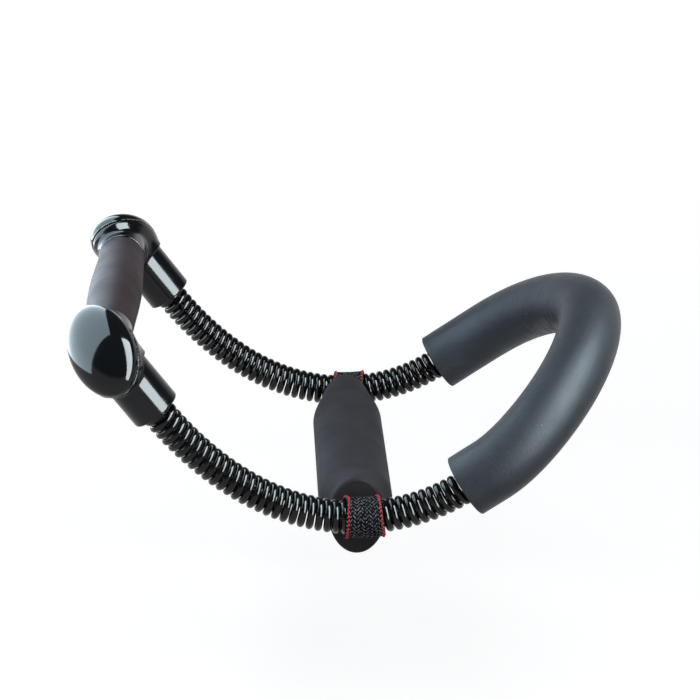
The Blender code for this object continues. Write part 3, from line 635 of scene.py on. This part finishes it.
def steel_material():
    """Drawn steel with fine lines and dull patches."""
    tree = MaterialTree("steel", (0.45, 0.45, 0.46), 0.35, Metallic=1.0)
    lines = tree.noise(tree.stretched(tree.position, (4000.0, 300.0, 4000.0)), 1.0, 3.0)
    lined = tree.mix(lines, (0.38, 0.38, 0.39, 1.0), (0.5, 0.5, 0.51, 1.0))
    return tree.finish(lined, tree.between(lines, 0.3, 0.7, 0.28, 0.45), lines, 0.00002, 0.5)


def nylon_material(name, tint):
    """Matte moulded plastic with a spark-eroded grain."""
    tree = MaterialTree(name, tint, 0.55)
    cloud = tree.noise(tree.position, 120.0, 3.0)
    clouded = tree.mix(cloud, shaded(tint, 0.85), shaded(tint, 1.15))
    dull = tree.between(cloud, 0.3, 0.7, 0.6, 0.48)
    return tree.finish(clouded, dull, tree.noise(tree.position, 2600.0, 3.0), 0.00003, 0.7)


# Armrest


def creases(along, turns, inward, bend, seed):
    """Valleys and tips inside a bend: the sum of a few slanted waves above and below a limit.

    Each wave comes and goes round the foam. Both grow with the bend and towards its inner side,
    and fade out towards the ends.
    """
    random = np.random.default_rng(seed)
    pattern = np.zeros((len(along), len(turns)))
    for wave, lobes in ((0.0017, 7), (0.0021, 5), (0.0026, 9), (0.0033, 6), (0.0043, 4)):
        phase, slant, wobble = random.uniform(0, math.tau, 3)
        drift = 1.2 * np.sin(turns * 3 + wobble)[None, :] + 0.9 * np.sin(along / 0.017 + slant)[:, None]
        swell = 0.5 + 0.5 * np.sin(lobes * turns[None, :] + along[:, None] / 0.0047 + slant)
        pattern += np.sin(math.tau * along[:, None] / wave + drift + phase) * swell * 1.5
    middle = np.clip(2.2 * np.sin(math.pi * along / along[-1]) - 1.0, 0, 1)
    share = np.clip(inward, 0, 1) ** 1.2 * (np.sqrt(bend) * middle)[:, None]
    # The tips are the mask of a painted highlight: the foam's material paints them lighter.
    return np.clip(pattern - 0.6, 0, None) / 2 * share, np.clip(-pattern - 0.9, 0, 1) * share**3


class WRISTTRAINER_OT_armrest(bpy.types.Operator):
    """Carry a round foam profile along the U, crease it inside the bends and open a pocket at each end"""

    bl_idname = "wrist_trainer.armrest"
    bl_label = "Armrest foam"

    def execute(self, context):
        sizes = context.scene.wrist_armrest
        count = 940
        columns = 84
        line, walked = armrest_line(sizes, count)
        total = walked[-1]
        straight = sizes.leg_straight
        headings = unit(np.gradient(line, walked, axis=0))
        for end, near in ((0, walked <= straight), (-1, walked >= total - straight)):
            headings[near] = headings[end]
        up = np.array([-math.sin(sizes.tilt), 0, math.cos(sizes.tilt)])
        turns = full_turn(columns)

        def place(distance):
            heading = unit(along_line(distance, walked, headings))
            first = unit(np.cross(heading, up))
            return along_line(distance, walked, line), first, np.cross(heading, first)

        ease = rounded_end(sizes.foam_radius, 0.0, sizes.foam_edge, -1.0)[::-1]
        first_row = sizes.foam_edge * 1.5
        body = np.linspace(first_row, total - first_row, count)
        outer_place = np.concatenate((ease[:, 1], body, total - ease[::-1, 1]))
        outer_radius = np.concatenate((ease[:, 0], np.full(count, sizes.foam_radius), ease[::-1, 0]))
        centre, first, second = place(outer_place)
        turning = np.linalg.norm(np.gradient(headings, walked, axis=0), axis=1)
        bend = np.interp(outer_place, walked, turning / turning.max())
        spokes = spokes_round(first, second, turns)
        middle = line.mean(axis=0)
        inward = np.einsum("rck,rk->rc", spokes, unit(middle - centre))
        valley, tip = creases(outer_place, turns, inward, bend, 3)
        depth = valley * sizes.crease_depth
        rings = [centre[:, None] + spokes * (outer_radius[:, None] - depth)[..., None]]

        bore_rows = 90
        bore = np.linspace(total - straight, straight, bore_rows)
        inner_place = np.array([total, total - straight, *bore, straight, 0.0])
        inner_radius = np.full((len(inner_place), 1), sizes.bore_radius)
        inner_radius[[0, 1, -2, -1]] = sizes.pocket_radius
        centre, first, second = place(inner_place)
        rings.append(rings_round(centre, first, second, inner_radius, turns))
        material = foam_material("armrest_foam_skin", sizes.foam_colour, 0.40, 0.09)
        sleeve = add_loft("armrest_foam_sleeve", np.concatenate(rings), material, closed=True)
        # The crease tips go to the foam's material as the mask of a painted highlight.
        shown = np.zeros(len(sleeve.data.vertices))
        shown[: tip.size] = tip.ravel()
        note_points(sleeve, "painted_tip_highlight", shown)
        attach(sleeve, "armrest")
        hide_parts("armrest_foam")
        return {"FINISHED"}


# Springs


def wire_line(side, scene, steps):
    """Right-hand helix: up times cosine plus across times sine, with each end turned to run straight on."""
    springs = scene.wrist_springs
    reach = spring_reach(springs)
    tip = springs.seat - springs.fit
    straight_end = tip - 2 * springs.wire_radius
    lead = straight_end - springs.end_bend
    swing = springs.end_bend / springs.coil_radius
    share = np.linspace(0, 1, steps)
    end_turn = math.tau * springs.turns
    distance = -lead + (reach + 2 * lead) * share
    turn = end_turn * share
    tip_steps = 5
    before = np.linspace(-tip, -straight_end, tip_steps)
    after = np.linspace(reach + straight_end, reach + tip, tip_steps)
    distance = np.concatenate((before, distance, after))
    turn = np.concatenate((np.full(tip_steps, -swing), turn, np.full(tip_steps, end_turn + swing)))
    centre, _, up = spring_frames(distance, side, scene)
    radial = up * np.cos(turn)[:, None] + ACROSS * np.sin(turn)[:, None]
    return centre + radial * springs.coil_radius, radial, distance


class WRISTTRAINER_OT_springs(bpy.types.Operator):
    """Carry a round wire along each helix, in two lengths that meet under the webbing"""

    bl_idname = "wrist_trainer.springs"
    bl_label = "Coil springs"

    def execute(self, context):
        scene = context.scene
        springs, pad = scene.wrist_springs, scene.wrist_pad
        material = gloss_material(
            "spring_lacquer", springs.lacquer_colour, 0.05, 500.0, 0.8, ripple_depth=0.000006
        )
        clearance = 0.001
        turn_steps, wire_sides = 36, 16
        half_strap = pad.strap_width / 2 + clearance
        under_loop = pad.from_armrest - pad.strap_shift
        arm_end = under_loop - half_strap - pad.strap_travel
        for side_name, side in SIDES.items():
            line, radial, distance = wire_line(side, scene, springs.turns * turn_steps)
            tangent = unit(np.gradient(line, axis=0))
            first = unit(radial - tangent * np.sum(radial * tangent, axis=1, keepdims=True))
            second = np.cross(tangent, first)
            split = int(np.searchsorted(distance, under_loop))
            radius = np.full((len(line), 1), springs.wire_radius)
            rings = rings_round(line, first, second, radius, full_turn(wire_sides))
            lengths = (
                ("arm", rings[: split + 1], "armrest", "springs", 0.0, arm_end),
                ("wrist", rings[split:], "springs", "handle", under_loop + half_strap, spring_reach(springs)),
            )
            for part, part_rings, near_body, far_body, start, end in lengths:
                wire = add_loft(f"spring_{side_name}_{part}_length", part_rings, material, sharp=60)
                ends = spring_frames(np.array([start, end]), side, scene)[0]
                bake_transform(wire)
                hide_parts(f"spring_{side_name}")
        return {"FINISHED"}


# Pad


def strap_route(pad, springs, count):
    """Middle line of the webbing in the plane square to the spring: two flat runs joined by a loop.

    The runs are tangents to the loop's circle. Returns evenly spaced (inboard, up) points and their walk.
    """
    half = pad.strap_thickness / 2
    radius = springs.coil_radius + springs.wire_radius + pad.strap_fit + half
    tail_end = pad.to_spring + pad.strap_tail
    half_gap = 0.00005
    top = half + half_gap - pad.drop
    base = -half - half_gap - pad.drop
    mouth = pad.to_spring
    top_touch = math.acos(radius / math.hypot(mouth, top)) + math.atan2(top, mouth)
    base_touch = math.acos(radius / math.hypot(mouth, base)) - math.atan2(base, mouth)
    loop_steps = 400
    turn = np.linspace(top_touch, math.tau - base_touch, loop_steps)
    loop = np.stack((np.cos(turn), np.sin(turn)), axis=1) * radius
    corners = np.concatenate(([[tail_end, top], [mouth, top]], loop, [[mouth, base], [tail_end, base]]))
    line, even = evenly(corners, count)
    width = 9
    kernel = np.hanning(width + 2)[1:-1]
    kernel /= kernel.sum()
    padded = np.concatenate((np.repeat(line[:1], width // 2, 0), line, np.repeat(line[-1:], width // 2, 0)))
    smooth = np.stack([np.convolve(padded[:, i], kernel, mode="valid") for i in range(2)], axis=1)
    return smooth, even


def strap_surface_points(across, route, normal_offset, side, scene):
    """Points on the webbing: along the spring by the place across the strip, and out by the offset.

    The loop is drawn along the spring by a shift that fades to nothing at the roller's end.
    """
    pad = scene.wrist_pad
    place, normal = route
    out = place + normal * normal_offset[..., None]
    shift = pad.strap_shift * np.clip(1 - out[..., 0] / pad.to_spring, 0, 1)
    centre, _, up = spring_frames(pad.from_armrest + across - shift, side, scene)
    return centre - side * ACROSS * out[..., :1] + up * out[..., 1:]


class WRISTTRAINER_OT_straps(bpy.types.Operator):
    """Carry a flat webbing section round each spring and sew its two edges with slanted stitches"""

    bl_idname = "wrist_trainer.straps"
    bl_label = "Webbing loops"

    def execute(self, context):
        scene = context.scene
        pad = scene.wrist_pad
        webbing = webbing_material(pad)
        thread = thread_material(pad)
        rows, flat_columns, edge_steps = 420, 45, 7
        route, walked = strap_route(pad, scene.wrist_springs, rows)
        tangent = unit(np.gradient(route, axis=0))
        normal = np.stack((tangent[:, 1], -tangent[:, 0]), axis=1)
        half_width = pad.strap_width / 2
        half = pad.strap_thickness / 2
        flat = np.linspace(-1, 1, flat_columns) * (half_width - half)
        level = np.full(flat_columns, half)
        edge_turn = np.linspace(0, math.pi, edge_steps)[1:-1]
        rim = half_width - half + half * np.sin(edge_turn)
        across = np.concatenate((flat, rim, flat[::-1], -rim))
        offset = np.concatenate((level, half * np.cos(edge_turn), -level, -half * np.cos(edge_turn)))
        shape = (rows, len(across))
        for side_name, side in SIDES.items():
            across_grid = np.broadcast_to(across, shape)
            offset_grid = np.broadcast_to(offset, shape)
            lines = (route[:, None], normal[:, None])
            rings = strap_surface_points(across_grid, lines, offset_grid, side, scene)
            columns = np.append(across, across[0])
            strap = add_loft(
                f"pad_webbing_{side_name}", rings, webbing, row_place=walked, column_place=columns
            )
            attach(strap, "straps")
            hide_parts(f"pad_strap_{side_name}")
            self.sew(side_name, side, route, normal, walked, thread, scene)
        return {"FINISHED"}

    def sew(self, side_name, side, route, normal, walked, thread, scene):
        """Slanted whip stitches: each is a short bent capsule that rises out of the webbing and returns."""
        pad = scene.wrist_pad
        pitch = 0.0020
        reach = 0.00050
        slant = 0.00068
        thread_radius = 0.00044
        rise = 0.00018
        inset = 0.0010
        above = 0.001
        hidden = pad.strap_tail * 0.9
        shown = np.arange(hidden, walked[-1] - hidden, pitch)
        steps, sides = 7, 8
        share = np.linspace(-1, 1, steps)
        thick = thread_radius * np.sqrt(np.clip(1 - (share * 0.97) ** 4, 0.05, None))
        half = pad.strap_thickness / 2
        points = []
        faces = []
        for edge in (-1, 1):
            middle = edge * (pad.strap_width / 2 - inset)
            along = shown[:, None] + share[None, :] * slant
            across = middle + share[None, :] * reach + np.zeros_like(along)
            lift = half + rise * (1 - share[None, :] ** 2) + np.zeros_like(along)
            lines = (along_line(along, walked, route), along_line(along, walked, normal))
            line = strap_surface_points(across, lines, lift, side, scene)
            raised = strap_surface_points(across, lines, lift + above, side, scene)
            up = unit(raised - line)
            heading = unit(np.gradient(line, axis=1))
            first = unit(up - heading * np.sum(up * heading, axis=-1, keepdims=True))
            second = np.cross(heading, first)
            spokes = spokes_round(first, second, full_turn(sides))
            rings = line[..., None, :] + spokes * thick[None, :, None, None]
            for stitch in rings:
                start = sum(len(part) for part in points)
                faces += grid_faces(steps, sides, False, start)
                faces.append(list(range(start, start + sides))[::-1])
                faces.append(list(range(start + (steps - 1) * sides, start + steps * sides)))
                points.append(stitch.reshape(-1, 3))
        stitches = add_piece(f"pad_stitching_{side_name}", np.concatenate(points), faces, thread, sharp=80)
        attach(stitches, "straps")


class WRISTTRAINER_OT_roller(bpy.types.Operator):
    """Carry an oval foam profile across, full in the middle and drawn in at both ends, with a bore"""

    bl_idname = "wrist_trainer.roller"
    bl_label = "Foam roller"

    def execute(self, context):
        pad = context.scene.wrist_pad
        centre, _, up = spring_frames(np.array([pad.from_armrest]), 0, context.scene)
        middle = centre[0] - up[0] * pad.drop
        half = context.scene.wrist_armrest.spacing / 2 - pad.to_spring
        columns, body_rows, edge_steps = 96, 180, 8
        turns = full_turn(columns)
        ends = rounded_end(0.0, half, pad.edge, 1.0, edge_steps)[::-1]
        body = np.linspace(half - pad.edge, -half + pad.edge, body_rows)[1:-1]
        place = np.concatenate((ends[:, 1], body, -ends[::-1, 1]))
        inset = np.concatenate((-ends[:, 0], np.zeros(len(body)), -ends[::-1, 0]))
        share = np.clip((half - np.abs(place)) / pad.pinch_length, 0, 1)
        fullness = share**2 * (3 - 2 * share)
        wide = pad.end_half_width + (pad.radius - pad.end_half_width) * fullness - inset
        tall = pad.end_half_height + (pad.radius - pad.end_half_height) * fullness - inset
        rings = self.ovals(middle, place, wide, tall, turns)
        mouth_depth = 0.004
        mouth = half - mouth_depth
        bore_place = np.array([-half, -mouth, -mouth, 0.0, mouth, mouth, half])
        bore = np.array([pad.mouth_radius] * 2 + [pad.bore_radius] * 3 + [pad.mouth_radius] * 2)
        rings = np.concatenate((rings, self.ovals(middle, bore_place, bore, bore, turns)))
        material = foam_material("roller_foam_skin", pad.foam_colour, 0.6, 0.03)
        roller = add_loft("pad_foam_roller", rings, material, closed=True)
        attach(roller, "roller")
        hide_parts("pad_foam")
        return {"FINISHED"}

    def ovals(self, middle, place, wide, tall, turns):
        """Ovals round the Y axis: half width times cosine along X, half height times sine along Z."""
        x = wide[:, None] * np.cos(turns)
        z = tall[:, None] * np.sin(turns)
        y = np.broadcast_to(place[:, None], x.shape)
        return middle + np.stack((x, y, z), axis=-1)


# Elbows, caps and grip


def soft_union(a, b, reach):
    """Smaller of two distances, blended where they differ by less than the reach."""
    share = np.clip(0.5 + 0.5 * (b - a) / reach, 0, 1)
    return b + (a - b) * share - reach * share * (1 - share)


def corner_distance(x, y, z, sizes):
    """Rough distance to the elbow, from its corner along the sleeve, along the barrel and square to both.

    It is the soft union of a sleeve with its collar, a tapered barrel and an oval ball, cut at the mitre.
    """
    collar_slope = 0.0006
    mitre_fillet = 0.0008
    collar_end = sizes.collar_from_corner + sizes.collar_length
    step = np.clip((collar_end - x) / collar_slope, 0, 1)
    outer_radius = sizes.sleeve_radius + sizes.collar_height * step * step * (3 - 2 * step)
    sleeve = np.sqrt(y**2 + (z - sizes.sleeve_rise) ** 2 + np.minimum(x, 0) ** 2) - outer_radius
    taper = (sizes.barrel_radius - sizes.barrel_end_radius) * np.clip(y / sizes.barrel_length, 0, 1)
    barrel = np.sqrt(x**2 + z**2 + np.minimum(y, 0) ** 2) - sizes.barrel_radius + taper
    outward = -(x + y) / math.sqrt(2)
    long_way = (x - y) / math.sqrt(2)
    radii = (sizes.corner_half_length, sizes.corner_half_width, sizes.corner_depth)
    near = np.sqrt(sum((part / radius) ** 2 for part, radius in zip((long_way, z, outward), radii)))
    steep = np.sqrt(sum((part / radius**2) ** 2 for part, radius in zip((long_way, z, outward), radii)))
    ball = near * (near - 1) / np.maximum(steep, 1e-9)
    body = soft_union(soft_union(sleeve, barrel, sizes.fillet), ball, sizes.fillet)
    return -soft_union(-body, -outward, mitre_fillet)


def elbow_rings(sizes, columns):
    """Rings square to a line that runs along the barrel, round a quarter turn and along the sleeve.

    Each ring's radius is found by halving the span in which the distance changes sign.
    """
    turn_radius = sizes.bend_radius
    end_margin = 0.0012
    halvings = 34
    before, corner_rows, after = 24, 200, 60
    barrel = np.linspace(sizes.barrel_length - end_margin, turn_radius, before, endpoint=False)
    turn = np.linspace(0, math.pi / 2, corner_rows)
    sleeve = np.linspace(turn_radius, sizes.to_sleeve_end - end_margin, after + 1)[1:]
    centre_x = np.concatenate((np.zeros(before), turn_radius * (1 - np.cos(turn)), sleeve))
    centre_y = np.concatenate((barrel, turn_radius * (1 - np.sin(turn)), np.zeros(after)))
    centre_z = np.concatenate((np.zeros(before), np.sin(turn) ** 2, np.ones(after))) * sizes.sleeve_rise
    out_x = np.concatenate((np.full(before, -1.0), -np.cos(turn), np.zeros(after)))
    out_y = np.concatenate((np.zeros(before), -np.sin(turn), np.full(after, -1.0)))
    spin = full_turn(columns)
    ray_x = out_x[:, None] * np.cos(spin)
    ray_y = out_y[:, None] * np.cos(spin)
    ray_z = np.broadcast_to(np.sin(spin), ray_x.shape)
    least, most = 0.001, 0.040
    low = np.full(ray_x.shape, least)
    high = np.full(ray_x.shape, most)
    spare_rows = 4
    bent = slice(before - spare_rows, before + corner_rows + spare_rows)
    towards_pivot = np.clip(-np.cos(spin), 0.02, 1)
    short_of_pivot = turn_radius * 0.98
    high[bent] = np.minimum(high[bent], short_of_pivot / towards_pivot)

    def reached(radius):
        parts = ((centre_x, ray_x), (centre_y, ray_y), (centre_z, ray_z))
        return [centre[:, None] + ray * radius for centre, ray in parts]

    for _ in range(halvings):
        middle = (low + high) / 2
        inside = corner_distance(*reached(middle), sizes) < 0
        low = np.where(inside, middle, low)
        high = np.where(inside, high, middle)
    return np.stack(reached((low + high) / 2), axis=-1)


class WRISTTRAINER_OT_elbows(bpy.types.Operator):
    """Loft each moulded corner from its barrel through the swollen corner to its sleeve"""

    bl_idname = "wrist_trainer.elbows"
    bl_label = "Elbow fittings"

    def execute(self, context):
        sizes = context.scene.wrist_fittings
        material = gloss_material("fitting_gloss", sizes.fitting_colour, 0.1, 60.0, 0.5)
        columns = 112
        body = elbow_rings(sizes, columns)
        spin = full_turn(columns)

        def barrel_ring(radius, place):
            return np.stack((-radius * np.cos(spin), np.full(columns, place), radius * np.sin(spin)), axis=-1)

        def sleeve_ring(radius, place):
            height = sizes.sleeve_rise + radius * np.sin(spin)
            return np.stack((np.full(columns, place), -radius * np.cos(spin), height), axis=-1)

        tube_depth = 0.012
        chamfer = 0.0004
        barrel_edge, sleeve_edge = 0.0007, 0.0008
        start = [
            barrel_ring(sizes.tube_radius, sizes.barrel_length - tube_depth),
            barrel_ring(sizes.tube_radius, sizes.barrel_length),
        ]
        ease = rounded_end(sizes.barrel_end_radius, sizes.barrel_length, barrel_edge, 1.0)[::-1]
        start += [barrel_ring(radius, place) for radius, place in ease]
        ease = rounded_end(sizes.sleeve_radius, sizes.to_sleeve_end, sleeve_edge, 1.0)
        end = [sleeve_ring(radius, place) for radius, place in ease]
        end += [
            sleeve_ring(sizes.socket_radius + chamfer, sizes.to_sleeve_end),
            sleeve_ring(sizes.socket_radius, sizes.to_sleeve_end - chamfer),
            sleeve_ring(sizes.socket_radius, sizes.to_sleeve_end - sizes.socket_depth),
        ]
        local = np.concatenate((np.array(start), body, np.array(end)))
        for side_name, side in SIDES.items():
            corner, to_spring, to_grip, up = corner_frame(side, context.scene)
            rings = corner + local @ np.stack((to_spring, to_grip, up))
            elbow = add_loft(f"elbow_moulding_{side_name}", rings, material, sharp=50)
            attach(elbow, "handle")
            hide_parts(f"elbow_{side_name}")
        return {"FINISHED"}


class WRISTTRAINER_OT_caps(bpy.types.Operator):
    """Raise an oval dome over each mitre, with an upright rim and a thin uneven lip at its seam"""

    bl_idname = "wrist_trainer.caps"
    bl_label = "Elbow caps"

    def execute(self, context):
        sizes = context.scene.wrist_fittings
        material = gloss_material("cap_gloss", sizes.fitting_colour, 0.06, 45.0, 0.35)
        columns, dome_rows = 144, 44
        lip_reach = 0.00028
        spin = full_turn(columns)
        uneven = 0.5 + 0.5 * np.sin(spin * 5 + 1.3) * np.sin(spin * 13 + 0.4)
        lip = lip_reach * uneven
        dome_turn = np.linspace(0, math.pi / 2, dome_rows)[:-1]
        flat = np.zeros(columns)
        dome = sizes.cap_bulge - sizes.cap_rim
        levels = [
            (0.7, flat - 0.0014, 0.0),
            (1.0, flat - 0.0004, 0.0),
            (1.0, lip, 0.00015),
            (1.0, lip * 0.8, 0.00045),
            (1.0, flat, 0.0007),
        ]
        levels += [(math.cos(turn), flat, sizes.cap_rim + dome * math.sin(turn)) for turn in dome_turn]
        size, grow, height = (np.stack([level[i] + flat for level in levels]) for i in range(3))
        x = (sizes.corner_half_length * size + grow) * np.cos(spin)
        y = (sizes.corner_half_width * size + grow) * np.sin(spin)
        rings = np.stack((x, y, sizes.cap_gap + height), axis=-1)
        # The lip's rows are marked, unevenly round the rim, for the painted pale glint in the material.
        painted_lip_glint = np.zeros(rings.shape[:2])
        painted_lip_glint[2:4] = np.clip(uneven * 2 - 0.4, 0, 1)
        for side_name, side in SIDES.items():
            corner, to_spring, to_grip = corner_frame(side, context.scene)[:3]
            long_way = unit(to_spring - to_grip)
            outward = -unit(to_spring + to_grip)
            short_way = np.cross(outward, long_way)
            placed = corner + rings @ np.stack((long_way, short_way, outward))
            cap = add_loft(f"elbow_dome_{side_name}", placed, material, sharp=50)
            note_points(cap, "painted_lip_glint", painted_lip_glint)
            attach(cap, "handle")
            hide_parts(f"elbow_cap_{side_name}")
        return {"FINISHED"}


class WRISTTRAINER_OT_grip(bpy.types.Operator):
    """Turn the grip's profile round its tube: slim at the barrels and full in the palm"""

    bl_idname = "wrist_trainer.grip"
    bl_label = "Grip"

    def execute(self, context):
        sizes = context.scene.wrist_fittings
        end_gap, edge = 0.0003, 0.001
        columns, body_rows = 96, 120
        corner, to_spring = corner_frame(SIDES["left"], context.scene)[:2]
        half = context.scene.wrist_armrest.spacing / 2 - sizes.barrel_length - end_gap
        place = np.linspace(-half + edge, half - edge, body_rows)
        swell = 0.5 * (1 + np.cos(math.pi * place / half))
        radius = sizes.grip_end_radius + (sizes.grip_middle_radius - sizes.grip_end_radius) * swell
        body = np.stack((radius, place), axis=1)
        start = rounded_end(sizes.grip_end_radius, -half, edge, -1.0)[::-1]
        end = rounded_end(sizes.grip_end_radius, half, edge, 1.0)
        bore = [(sizes.tube_radius, half), (sizes.tube_radius, -half)]
        profile = np.concatenate((start, body[1:-1], end, bore))
        middle = np.array([corner[0], 0.0, corner[2]])
        spokes = spokes_round(to_spring, np.cross(ACROSS, to_spring), full_turn(columns))
        rings = middle + profile[:, None, 1:] * ACROSS + profile[:, None, :1] * spokes
        grip = add_loft("grip_rubber_sleeve", rings, grip_material(sizes), closed=True)
        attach(grip, "handle")
        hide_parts("grip_sleeve")
        return {"FINISHED"}


class WRISTTRAINER_OT_inner_parts(bpy.types.Operator):
    """Give the rod, tube, plugs, inserts, screws, washers and core of the frame their materials"""

    bl_idname = "wrist_trainer.inner_parts"
    bl_label = "Inner parts"

    def execute(self, context):
        steel = steel_material()
        nylon = nylon_material("plug_nylon", (0.03, 0.03, 0.032))
        core = nylon_material("core_plastic", (0.25, 0.25, 0.26))
        finishes = (
            (("armrest_rod", "grip_tube", "tube_insert", "cap_screw", "screw_washer"), steel),
            (("armrest_anchor", "spring_plug"), nylon),
            (("pad_core",), core),
        )
        for starts, material in finishes:
            for name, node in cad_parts.items():
                if name.startswith(starts):
                    node.data.materials.clear()
                    node.data.materials.append(material)
                    node.data.shade_smooth()
        return {"FINISHED"}


# Stage


class WRISTTRAINER_OT_stage(bpy.types.Operator):
    """Lay a pale floor and set the camera, the soft lights and the sky"""

    bl_idname = "wrist_trainer.stage"
    bl_label = "Stage"

    def execute(self, context):
        stage = context.scene.wrist_stage
        context.scene.view_settings.view_transform = "Standard"
        leg_x, leg_z = leg_side(context.scene.wrist_armrest)[1:3]
        target = np.array([leg_x[0], 0.0, leg_z[0]]) + np.array(stage.target_from_leg)
        azimuth, elevation = stage.camera_azimuth, stage.camera_elevation
        level = math.cos(elevation)
        back = np.array([math.sin(azimuth) * level, -math.cos(azimuth) * level, math.sin(elevation)])
        camera_data = bpy.data.cameras.new("camera")
        camera_data.lens = stage.camera_lens
        camera_data.sensor_width = 36
        camera = add_object("camera", camera_data)
        camera.location = target + back * stage.camera_distance
        camera.rotation_euler = (math.pi / 2 - elevation, 0, azimuth)
        context.scene.camera = camera

        floor_z = CAD_BOX[0][2] - stage.floor_drop
        floor_data = bpy.data.meshes.new("floor")
        reach = 30.0
        corners = [(x * reach, y * reach, floor_z) for x, y in ((-1, -1), (1, -1), (1, 1), (-1, 1))]
        floor_data.from_pydata(corners, [], [(0, 1, 2, 3)])
        floor_data.materials.append(self.floor_material(stage))
        floor = add_object("floor", floor_data)

        corner = corner_frame(SIDES["right"], context.scene)[0]
        fills = (
            ("left_fill", target, (-105, 34, 0), (0, 0, 1.0), (1.5, 1.1), 0.4, (0.92, 0.97, 1.0)),
            ("front_fill", target, (-14, 54, 0), (0, 0, 1.0), (0.9, 0.9), 2.6, (1.0, 1.0, 1.0)),
            ("right_fill", target, (66, 26, 0), (0, 0, 1.0), (0.9, 0.9), 0.6, (1.0, 1.0, 1.0)),
            ("top_fill", target, (150, 66, 0), (0, 0, 1.1), (0.9, 0.7), 1.2, (1.0, 1.0, 1.0)),
        )
        wall_tint, strip_tint = (0.76, 0.97, 1.10), (0.88, 1.0, 1.05)
        shines = (
            ("left_wall", corner, (-110, 29, 16), (-0.052, 0.032, 0.13), (0.338, 0.301), 10.2, wall_tint),
            ("right_strip", target, (76, 42, -47), (-0.13, -0.56, 1.0), (0.74, 1.95), 36.0, strip_tint),
        )
        for light in fills:
            self.add_light(*light).visible_glossy = False
        for light in shines:
            self.add_light(*light).visible_diffuse = False
        self.add_sky(context)
        return {"FINISHED"}

    def floor_material(self, stage):
        """Floor that takes the object's shadow, and glows in sight and in reflections, whiter far away."""
        tree = MaterialTree(
            "floor", stage.floor_colour, 0.9, Specular_IOR_Level=0.0, Emission_Strength=1.0
        )
        away = tree.node("VectorMath", {0: tree.position}, operation="LENGTH").outputs["Value"]
        glow = tree.math("MULTIPLY", self.seen(tree), tree.between(away, 0.4, 1.4, stage.floor_glow, 0.97))
        tree.join(glow, tree.sockets["Emission Color"])
        return tree.material

    def seen(self, tree):
        """One for camera, glossy and transmission rays and nothing for the others."""
        ray = tree.node("LightPath").outputs
        seen = tree.math("ADD", ray["Is Camera Ray"], ray["Is Glossy Ray"])
        return tree.math("MINIMUM", tree.math("ADD", seen, ray["Is Transmission Ray"]), 1.0)

    def add_light(self, name, aim, turn, shift, size, brightness, tint):
        """A soft rectangle that faces the aim from an azimuth and height angle, rolled, all in degrees.

        The shift moves it from the aim along its own width, its own height and backwards.
        """
        azimuth, elevation, roll = (math.radians(angle) for angle in turn)
        data = bpy.data.lights.new(name, "AREA")
        data.shape = "RECTANGLE"
        data.size, data.size_y = size
        data.energy = brightness * math.pi * size[0] * size[1]
        data.color = tint
        light = add_object(name, data)
        facing = Euler((math.pi / 2 - elevation, 0, azimuth)).to_matrix() @ Matrix.Rotation(roll, 3, "Z")
        light.location = Vector(aim) + facing @ Vector(shift)
        light.rotation_euler = facing.to_euler()
        light.visible_camera = False
        return light

    def add_sky(self, context):
        """Dim, but pale in sight and in reflections from below up to just over the horizon."""
        world = bpy.data.worlds.new("sky")
        world.use_nodes = True
        context.scene.world = world
        tree = Tree(world.node_tree)
        direction = tree.node("TexCoord").outputs["Generated"]
        height = tree.node("SeparateXYZ", {0: direction}).outputs[2]
        pale = tree.math("MULTIPLY", tree.between(height, 0.17, 0.3, 1.0, 0.0), self.seen(tree))
        tint = tree.mix(pale, (0.10, 0.11, 0.12, 1.0), (1.0, 1.0, 1.0, 1.0))
        tree.join(tint, world.node_tree.nodes["Background"].inputs["Color"])


# Panel and running


class WRISTTRAINER_PT_panel(bpy.types.Panel):
    """Buttons for each group of pieces and the sizes behind them"""

    bl_idname = "WRISTTRAINER_PT_panel"
    bl_label = "Wrist Trainer"
    bl_space_type = "VIEW_3D"
    bl_region_type = "UI"
    bl_category = "Wrist Trainer"

    def draw(self, context):
        for operator in OPERATORS:
            self.layout.operator(operator.bl_idname)
        for attribute, settings in SETTINGS.items():
            box = self.layout.box()
            box.label(text=attribute.replace("wrist_", "").title())
            for name in settings.__annotations__:
                box.prop(getattr(context.scene, attribute), name)


SETTINGS = {
    "wrist_armrest": ArmrestSettings,
    "wrist_springs": SpringSettings,
    "wrist_pad": PadSettings,
    "wrist_fittings": FittingSettings,
    "wrist_stage": StageSettings,
}
OPERATORS = (
    WRISTTRAINER_OT_armrest,
    WRISTTRAINER_OT_springs,
    WRISTTRAINER_OT_straps,
    WRISTTRAINER_OT_roller,
    WRISTTRAINER_OT_elbows,
    WRISTTRAINER_OT_caps,
    WRISTTRAINER_OT_grip,
    WRISTTRAINER_OT_inner_parts,
    WRISTTRAINER_OT_stage,
)


def register():
    for cls in (*SETTINGS.values(), *OPERATORS, WRISTTRAINER_PT_panel):
        bpy.utils.register_class(cls)
    for attribute, settings in SETTINGS.items():
        setattr(bpy.types.Scene, attribute, bpy.props.PointerProperty(type=settings))


def unregister():
    for attribute in SETTINGS:
        delattr(bpy.types.Scene, attribute)
    for cls in reversed((*SETTINGS.values(), *OPERATORS, WRISTTRAINER_PT_panel)):
        bpy.utils.unregister_class(cls)


def main():
    """Build every piece and the stage."""
    register()
    bpy.ops.wrist_trainer.armrest()
    bpy.ops.wrist_trainer.springs()
    bpy.ops.wrist_trainer.straps()
    bpy.ops.wrist_trainer.roller()
    bpy.ops.wrist_trainer.elbows()
    bpy.ops.wrist_trainer.caps()
    bpy.ops.wrist_trainer.grip()
    bpy.ops.wrist_trainer.inner_parts()
    bpy.ops.wrist_trainer.stage()


if __name__ == "__main__":
    main()
